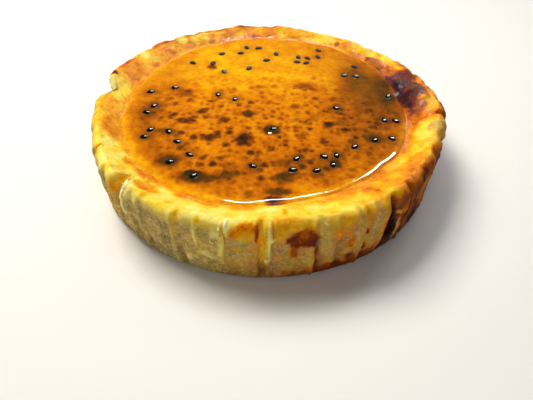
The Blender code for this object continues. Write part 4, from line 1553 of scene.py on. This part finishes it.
# The large clouds and spots; the small ones are strewn by the material
JELLY_SPOTS: tuple[Spot, ...] = (
    Spot(62, 20, 13, 20, 0.56, 0.60, 0.8),
    Spot(56, 34, 7, 8, 0.52, 0.60, 0.8),
    Spot(70, 14, 6, 16, 0.70, 0.30, 0.6),
    Spot(54, 26, 5, 6, 0.50, 0.50, 0.7),
    Spot(-32, -61, 10, 4.0, 0.74, 0.45, 0.6),
    Spot(10, -50, 3.2, 2.6, 0.66, 0.35, 0.6),
    Spot(9, -61, 5.0, 3.6, 0.70, 0.40, 0.6),
    Spot(-18, -58, 4.2, 3.2, 0.68, 0.35, 0.6),
    Spot(6, -70.4, 5.6, 2.6, 0.72, 0.45, 0.5),
    Spot(4.4, -75.4, 5.2, 1.9, 0.82, 0.0, 0.5),
    Spot(-7.6, -71.8, 2.0, 2.4, 0.66, 0.25, 0.5),
    Spot(-49, -48, 6.0, 4.2, 0.70, 0.35, 0.6),
    Spot(-52, -25, 3.0, 2.4, 0.62, 0.40, 0.6),
    Spot(-12, -31, 4.4, 4.8, 0.80, 0.0, 0.5, 0.5),
    Spot(-29, -30, 4.2, 3.0, 0.80, 0.0, 0.5, 0.4),
    Spot(-23, -14, 3.2, 3.2, 0.70, 0.1, 0.5, 0.3),
    Spot(-10, -8.6, 3.6, 3.0, 0.76, 0.3, 0.5),
    Spot(-45, -15, 4.6, 2.6, 0.72, 0.0, 0.4, 0.2),
    Spot(-35.5, -6, 3.0, 3.2, 0.70, 0.0, 0.4),
    Spot(-48, 12, 5.0, 3.8, 0.60, 0.0, 0.6),
    Spot(-55, 18, 2.0, 1.8, 0.64, 0.2, 0.5),
    Spot(-35, 43, 2.8, 3.0, 0.68, 0.0, 0.5),
    Spot(-4, 20, 4.0, 2.0, 0.56, 0.0, 0.6),
    Spot(24, 21, 5.0, 4.0, 0.60, 0.15, 0.6),
    Spot(17, -1, 3.0, 2.2, 0.66, 0.0, 0.5),
    Spot(34, -18, 3.0, 2.2, 0.70, 0.1, 0.5),
    Spot(41, -16, 3.4, 2.6, 0.60, 0.2, 0.6),
    Spot(57, -29, 5.0, 4.0, 0.70, 0.45, 0.6),
    Spot(35, -51, 2.6, 2.4, 0.68, 0.3, 0.5),
    Spot(7, -50, 2.4, 3.0, 0.62, 0.2, 0.6),
    Spot(18, -29, 2.6, 2.6, 0.62, 0.1, 0.6),
    Spot(-64, 1, 4.0, 3.0, 0.52, 0.3, 0.8),
    Spot(3, -23.5, 4.6, 3.8, 0.78, 0.3, 0.5, 0.6),
    Spot(-36, -58, 3.4, 2.0, 0.86, 0.0, 0.5, 0.5),
)


# How strongly the jelly's edge stands up as a lip: azimuth and share
LIP_STRENGTH: Table = (
    (-180, 0.15), (-112, 0.2), (-104, 1.0), (-90, 1.0), (-88, 0.95), (-85.5, 0.62), (-82, 0.66),
    (-81, 1.0), (-76.5, 1.0), (-75.2, 0.3), (-73.6, 0.95), (-70, 0.8), (-66, 0.25), (-60, 0.3),
    (-57, 0.95), (-33, 0.95), (-28, 0.3), (-15, 0.3), (10, 0.5), (25, 0.2), (150, 0.1),
)


@dataclass
class Jelly:
    """The passion fruit topping that fills the sunken top, without its seeds."""

    form: CakeForm
    box: Box
    seeds: list[SeedPlace]
    columns: int = 620  # how many round the cake
    ring_step: float = 0.8  # mm between the rows of its top
    even_rows: float = 6.0  # mm in from the pool's edge over which its rows follow the edge
    far_inset: float = 79.0  # mm in from the edge at which they would close on the middle
    gap: float = 0.12  # mm between the crust and the jelly's underside
    lip_rise: float = 0.19  # mm
    seed_clearing: float = 2.6  # radius of the raised skin of jelly round a seed
    seed_rise: float = 0.12  # how far it is raised

    def lip(self, azimuth: np.ndarray, inset: np.ndarray) -> np.ndarray:
        """Gives how far the jelly's rounded edge stands above its level.

        Args:
            azimuth: Degrees, one row of columns.
            inset: How far in from the pool's edge each row lies, as a column.

        Returns:
            Heights in mm.
        """
        strength = round_table(azimuth, LIP_STRENGTH)
        wobble = 0.96 + 0.16 * ripple(azimuth, (17, 29, 41, 53), seed=91)
        bank = np.clip((inset - 0.7) / 1.1, 0.0, 1.0) * (1.0 - smooth(inset, 2.0, 5.6))
        return self.lip_rise * strength * wobble * bank

    def base_tone(self, x: np.ndarray, y: np.ndarray, inset: np.ndarray) -> tuple[np.ndarray, ...]:
        """Works out the jelly's own colour before its named spots: gold at the back, amber in front.

        Args:
            x: Places across, in mm.
            y: Places towards the back, in mm.
            inset: How far in from the pool's edge.

        Returns:
            Tone, olive and spotty.
        """
        tone = 0.20 + 0.15 * smooth(-y, -36.0, 8.0) + 0.09 * smooth(-y, 8.0, 62.0)
        tone = tone + 0.20 * smooth(x, 12.0, 66.0) + 0.12 * smooth(-x, 34.0, 68.0)
        tone = tone + 0.10 * smooth(y, 52.0, 76.0) * smooth(x, -40.0, 10.0)
        # towards the pool's edge it is thinner, so it evens out and then pales; in front the paling is in
        # part painted light, for the edge's outer slope that lies in shade
        edge = 1.0 - smooth(inset, 1.0, 11.0)
        tone = tone + (0.33 - tone) * 0.75 * edge * smooth(-x, -45.0, -10.0)
        tone = tone - 0.13 * (1.0 - smooth(inset, 4.0, 30.0)) * smooth(x, 8.0, 40.0) * smooth(-y, 5.0, 30.0)
        thin_and_painted_light = 1.0 - smooth(inset, 0.8, 5.0)
        tone = tone - (0.14 + 0.04 * smooth(x, 10.0, 40.0)) * thin_and_painted_light * smooth(-y, 0.0, 26.0)
        tone = tone - 0.07 * (1.0 - smooth(inset, 0.0, 7.0)) * smooth(-x, 20.0, 50.0) * smooth(y, -30.0, -5.0)
        olive = 0.20 * smooth(x, 22.0, 64.0) + 0.10 * smooth(-x, 40.0, 62.0)
        radius = np.hypot(x, y + 8.0)
        spotty = (1.0 - 0.80 * smooth(radius, 46.0, 76.0)) * (1.0 - 0.75 * smooth(y, -4.0, 44.0))
        return tone, olive, spotty

    def grid(self, azimuth: np.ndarray, edge: np.ndarray) -> tuple[MeshGrid, int]:
        """Lays out the rows, from the middle of the underside out and back in over the top.

        Args:
            azimuth: Degrees of the columns.
            edge: The pool's radius at each of them.

        Returns:
            The rows, with their distance in from the pool's edge for a reach, and how many the underside has.
        """
        form, made = self.form, MeshGrid(azimuth)
        under = 1e3  # stands in for a distance on the underside, where no relief is added
        for radius in (15.0, 40.0, 60.0):
            made.add_ring(radius, form.pool_level - form.pool_depth + self.gap, under)
        for inset in (8.0, 6.5, 5.0, 3.6, 2.2, 1.0, 0.0):
            radius, height = form.bowl(azimuth, inset)
            made.add((radius, height + self.gap), under)
        under_rows = len(made.radius)
        outer = np.full_like(azimuth, form.pool_level - form.pool_edge_depth)
        for inset, rise in ((-0.9, -0.15), (-0.7, 0.18), (0.0, 0.55), (0.7, 0.80)):
            made.add((edge - inset, outer + rise), inset)
        even, far = self.even_rows, self.far_inset
        for inset in np.concatenate([np.arange(1.2, even, 0.4), np.arange(even, far - 2.0, self.ring_step)]):
            inner = (1.0 - inset / far) * edge
            blended = (inner * (inset - even) + (edge - inset) * (far - inset)) / (far - even)
            radius = np.where(inset < even, edge - inset, blended)
            made.add((np.maximum(radius, 1.2), np.full_like(azimuth, form.pool_level)), float(inset))
        return made, under_rows

    def build(self, finish: bpy.types.Material) -> bpy.types.Object:
        """Makes the jelly and dresses it.

        Args:
            finish: The jelly.

        Returns:
            The piece.
        """
        azimuth = self.form.columns(self.columns)
        edge = self.form.pool_edge(azimuth)
        grid, under_rows = self.grid(azimuth, edge)
        points = grid.points()
        inset = np.array(grid.reach)[:, None]
        top = (np.arange(len(grid.radius)) >= under_rows)[:, None]
        x, y = points[..., 0], points[..., 1]
        tone, olive, spotty = self.base_tone(x, y, edge[None, :] - np.hypot(x, y))
        waves = 0.05 * grain(points, 11.0, 2, 101) * smooth(inset, 2.0, 6.0)
        rise = self.lip(azimuth[None, :], inset) + waves
        for spot in JELLY_SPOTS:
            far = np.sqrt(((x - spot.x) / spot.along) ** 2 + ((y - spot.y) / spot.across) ** 2)
            near = far < 2.2
            broken = np.zeros_like(far)
            broken[near] = 0.30 * grain(points[near], max(1.4, 0.6 * spot.across), 2, 111)
            weight = np.where(near, 1.0 - smooth(far + broken, 1.0 - spot.soft, 1.0 + spot.soft), 0.0)
            tone = tone + (np.maximum(spot.tone, tone) - tone) * weight
            olive = olive + (np.maximum(spot.olive, olive) - olive) * weight
            spotty = spotty * (1.0 - 0.7 * weight)
            if spot.bubble:
                wrinkled = 1.0 + 0.8 * grain(points, 1.8, 1, 121) * (spot.bubble > 0.3)
                rise = rise + spot.bubble * np.exp(-((far * 1.3) ** 2)) * wrinkled
        for seed_x, seed_y, _, _ in self.seeds:
            far = np.hypot(x - seed_x, y - seed_y)
            rise = rise + self.seed_rise * np.exp(-((far / self.seed_clearing) ** 2))
            halo = np.exp(-(((far - 0.6) / 3.4) ** 2)) * (1.0 - 0.6 * smooth(y, 10.0, 50.0))
            olive = olive + (0.45 - np.minimum(olive, 0.45)) * halo
            tone = tone + 0.16 * halo
            spotty = spotty * (1.0 - halo)
        points[..., 2] += np.where(top & (inset > 0.5), rise, 0.0)
        mesh = closed_skin("jelly", keep_inside(points, self.box))
        for name, values in (("tone", tone), ("olive", olive), ("spotty", spotty)):
            store(mesh, name, values)
        return add_piece("passion_jelly", mesh, finish, "topping")


@dataclass
class Seeds:
    """The seeds of the passion fruit, lying half out of the jelly."""

    form: CakeForm
    length: float = 4.6  # mm, as all its other lengths
    width: float = 3.4
    thickness: float = 2.3
    taper: float = 0.34  # share of its width that the narrow end loses
    sink: float = 0.15  # how far its middle lies below the jelly's level in the solid
    lift: float = 0.25  # how much higher it lies here, out of the jelly's raised skin
    margin: float = 4.2  # how far in from the pool's edge its middle has to lie
    scatter: int = 7  # seeds the random draws
    name: str = "passion_seeds"

    def places(self) -> list[SeedPlace]:
        """Works out where the seeds lie, as the solid has them.

        Returns:
            The place of each.
        """
        draw = random.Random(self.scatter)
        places = []
        for group in SEED_GROUPS:
            for number in range(group.count):
                around = math.radians(group.start + 360.0 * number / group.count + draw.uniform(-9.0, 9.0))
                off = group.spread * draw.uniform(0.94, 1.06)
                way = math.radians(group.azimuth)
                x = group.radius * math.cos(way) + off * math.cos(around)
                y = group.radius * math.sin(way) + off * math.sin(around)
                edge = self.form.pool_edge(np.array([math.degrees(math.atan2(y, x))]))
                inwards = min(1.0, (float(edge[0]) - self.margin) / math.hypot(x, y))
                turn, tip = draw.uniform(0.0, math.pi), draw.uniform(-12.0, 12.0)
                places.append((x * inwards, y * inwards, turn, tip))
        return places

    def build(self, finish: bpy.types.Material) -> bpy.types.Object:
        """Makes the seeds as one joined mesh and dresses them.

        Args:
            finish: The seed coat.

        Returns:
            The piece.
        """
        bm = bmesh.new()
        for x, y, turn, tip in self.places():
            made = bmesh.ops.create_uvsphere(bm, u_segments=18, v_segments=12, radius=0.5)["verts"]
            for vert in made:
                along, across, up = vert.co
                narrowing = 1.0 - self.taper * (along + 0.5) ** 2
                vert.co = (along * self.length, across * self.width * narrowing, up * self.thickness)
            tilt = Euler((math.radians(tip), 0.0, turn)).to_matrix().to_4x4()
            place = Matrix.Translation(Vector((x, y, self.form.pool_level - self.sink + self.lift)))
            bmesh.ops.transform(bm, matrix=Matrix.Diagonal((MM, MM, MM, 1.0)) @ place @ tilt, verts=made)
        return add_piece(self.name, smooth_mesh(self.name, bm), finish, "topping")


@dataclass
class Crumbs:
    """Crumbs that hang on the torn edges of the folds and on the skin."""

    form: CakeForm
    box: Box
    seed: int = 37  # of the random draws
    name: str = "custard_crumbs"
    # azimuth, lowest and highest height, spread in degrees, count
    torn: tuple[tuple[float, float, float, float, int], ...] = (
        (-131.8, 6.0, 37.0, 1.0, 46),
        (-13.8, 28.0, 37.0, 4.0, 34),
        (-101.5, 12.0, 34.0, 0.6, 16),
        (-88.8, 12.0, 34.0, 0.6, 14),
        (-75.0, 18.0, 36.0, 1.0, 12),
        (169.0, 20.0, 36.0, 4.0, 18),
        (-103.2, 24.0, 31.0, 0.8, 6),
    )

    def build(self, finish: bpy.types.Material) -> bpy.types.Object:
        """Makes the crumbs as one joined mesh and dresses them.

        Args:
            finish: The crumb.

        Returns:
            The piece.
        """
        draw = random.Random(self.seed)
        bm = bmesh.new()
        for azimuth, low, high, spread, count in self.torn:
            for _ in range(count):
                turn, height = draw.gauss(azimuth, 0.5 * spread), draw.uniform(low, high)
                shoulder = self.form.shoulder_height
                if height > shoulder:
                    share = (height - shoulder) / (CREST_REACH - shoulder)
                    radius, level = self.form.shoulder(np.array([turn]), 90.0 * min(1.0, share))
                else:
                    radius, level = self.form.side(np.array([turn]), height)
                size = draw.uniform(0.35, 0.85)
                made = bmesh.ops.create_icosphere(bm, subdivisions=1, radius=1.0)["verts"]
                for vert in made:
                    vert.co *= draw.uniform(0.7, 1.15)
                wide, deep = size * draw.uniform(0.6, 1.0), size * draw.uniform(0.6, 1.3)
                scale = Matrix.Diagonal((size, wide, deep, 1.0))
                out, way = float(radius[0]) - 0.1 * size, math.radians(turn)
                place = Vector((out * math.cos(way), out * math.sin(way), float(level[0])))
                turned = Euler([draw.uniform(0, math.tau) for _ in range(3)]).to_matrix().to_4x4()
                whole = Matrix.Diagonal((MM, MM, MM, 1.0)) @ Matrix.Translation(place) @ turned @ scale
                bmesh.ops.transform(bm, matrix=whole, verts=made)
        low, high = self.box
        for vert in bm.verts:
            vert.co = Vector([min(max(c, a), b) for c, a, b in zip(vert.co, low, high)])
        return add_piece(self.name, smooth_mesh(self.name, bm), finish, "cheesecake")


@dataclass(frozen=True)
class Lamp:
    """A soft studio light that faces the middle of the cake's foot."""

    name: str
    place: tuple[float, float, float]  # metres
    size: float  # metres
    power: float  # watts
    colour: str = "#ffffff"
    glints: bool = True  # whether wet surfaces mirror it
    wash: bool = True  # whether it lights matt surfaces
    length: float = 0.0  # metres, for a strip that lies along X


@dataclass
class Studio:
    """The floor, the lights and the camera."""

    lens: float = 29.04  # mm on a sensor 36 mm wide
    pitch: float = 46.02  # degrees below the horizon
    roll: float = 0.32  # degrees
    distance: float = 237.0  # mm from the camera to the point of the floor that it faces
    aim: tuple[float, float] = (0.5, -46.3)  # mm, that point
    lamps: tuple[Lamp, ...] = (
        Lamp("overhead", (-0.40, 0.35, 0.85), 0.45, 12.0, "#fffaf2", glints=False),
        Lamp("front_fill", (-0.25, -0.9, 0.50), 0.5, 1.35, glints=False),
        Lamp("glint_strip", (0.045, 0.37, 0.83), 0.13, 25.0, length=0.43, wash=False),
        Lamp("glint_square", (0.45, 0.50, 0.72), 0.24, 20.0, wash=False),
    )
    world: float = 0.12  # strength of the surround's light

    def floor(self, finish: bpy.types.Material) -> None:
        """Makes the plain pale floor.

        Args:
            finish: Its material.
        """
        mesh = bpy.data.meshes.new("floor")
        half, level = 3.0, -0.0002  # metres
        corners = [(-half, -half, level), (half, -half, level), (half, half, level), (-half, half, level)]
        mesh.from_pydata(corners, [], [(0, 1, 2, 3)])
        mesh.materials.append(finish)
        floor = bpy.data.objects.new("floor", mesh)
        bpy.context.scene.collection.objects.link(floor)
        floor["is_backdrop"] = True

    def light(self) -> None:
        """Makes the lamps and the dim white surround."""
        for lamp in self.lamps:
            data = bpy.data.lights.new(lamp.name, "AREA")
            data.shape, data.energy = "RECTANGLE", lamp.power
            data.size, data.size_y = lamp.length or lamp.size, lamp.size
            data.color = linear(lamp.colour)[:3]
            made = bpy.data.objects.new(lamp.name, data)
            made.location = lamp.place
            made.visible_glossy, made.visible_diffuse = lamp.glints, lamp.wash
            made.rotation_euler = (-Vector(lamp.place)).to_track_quat("-Z", "Y").to_euler()
            bpy.context.scene.collection.objects.link(made)
        world = bpy.data.worlds.new("surround")
        world.use_nodes = True
        shade = world.node_tree.nodes["Background"]
        shade.inputs["Color"].default_value = linear("#ffffff")
        shade.inputs["Strength"].default_value = self.world
        bpy.context.scene.world = world

    def camera(self) -> None:
        """Makes the camera at the photograph's viewing angle."""
        data = bpy.data.cameras.new("view")
        data.sensor_width, data.lens = 36.0, self.lens
        data.clip_start, data.clip_end = 0.01, 20.0
        made = bpy.data.objects.new("view", data)
        pitch, roll = math.radians(self.pitch), math.radians(self.roll)
        forward = Vector((0.0, math.cos(pitch), -math.sin(pitch)))
        right = Vector((1.0, 0.0, 0.0))
        up = right.cross(forward)
        across = right * math.cos(roll) + up * math.sin(roll)
        upright = up * math.cos(roll) - right * math.sin(roll)
        place = (Vector((self.aim[0], self.aim[1], 0.0)) - forward * self.distance) * MM
        turn = Matrix((across, upright, -forward)).transposed().to_4x4()
        made.matrix_world = Matrix.Translation(place) @ turn
        bpy.context.scene.collection.objects.link(made)
        bpy.context.scene.camera = made


def main() -> None:
    """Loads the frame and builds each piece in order."""
    logging.basicConfig(level=logging.INFO, format="%(name)s: %(message)s")
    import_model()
    cad_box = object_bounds()
    scene = bpy.context.scene
    scene.view_settings.view_transform = "Standard"
    form = CakeForm()
    seeds = Seeds(form)
    pieces = (
        Crust(form, cad_box).build(BrownedCustardSkin().build()),
        Jelly(form, cad_box, seeds.places()).build(PassionFruitJelly().build()),
        seeds.build(PassionFruitSeed().build()),
        Crumbs(form, cad_box).build(BakedCustardCrumb().build()),
    )
    for piece in pieces:
        log.info("%s: %d faces", piece.name, len(piece.data.polygons))
    studio = Studio()
    studio.floor(PaleMattFloor().build())
    studio.light()
    studio.camera()


if __name__ == "__main__":
    main()
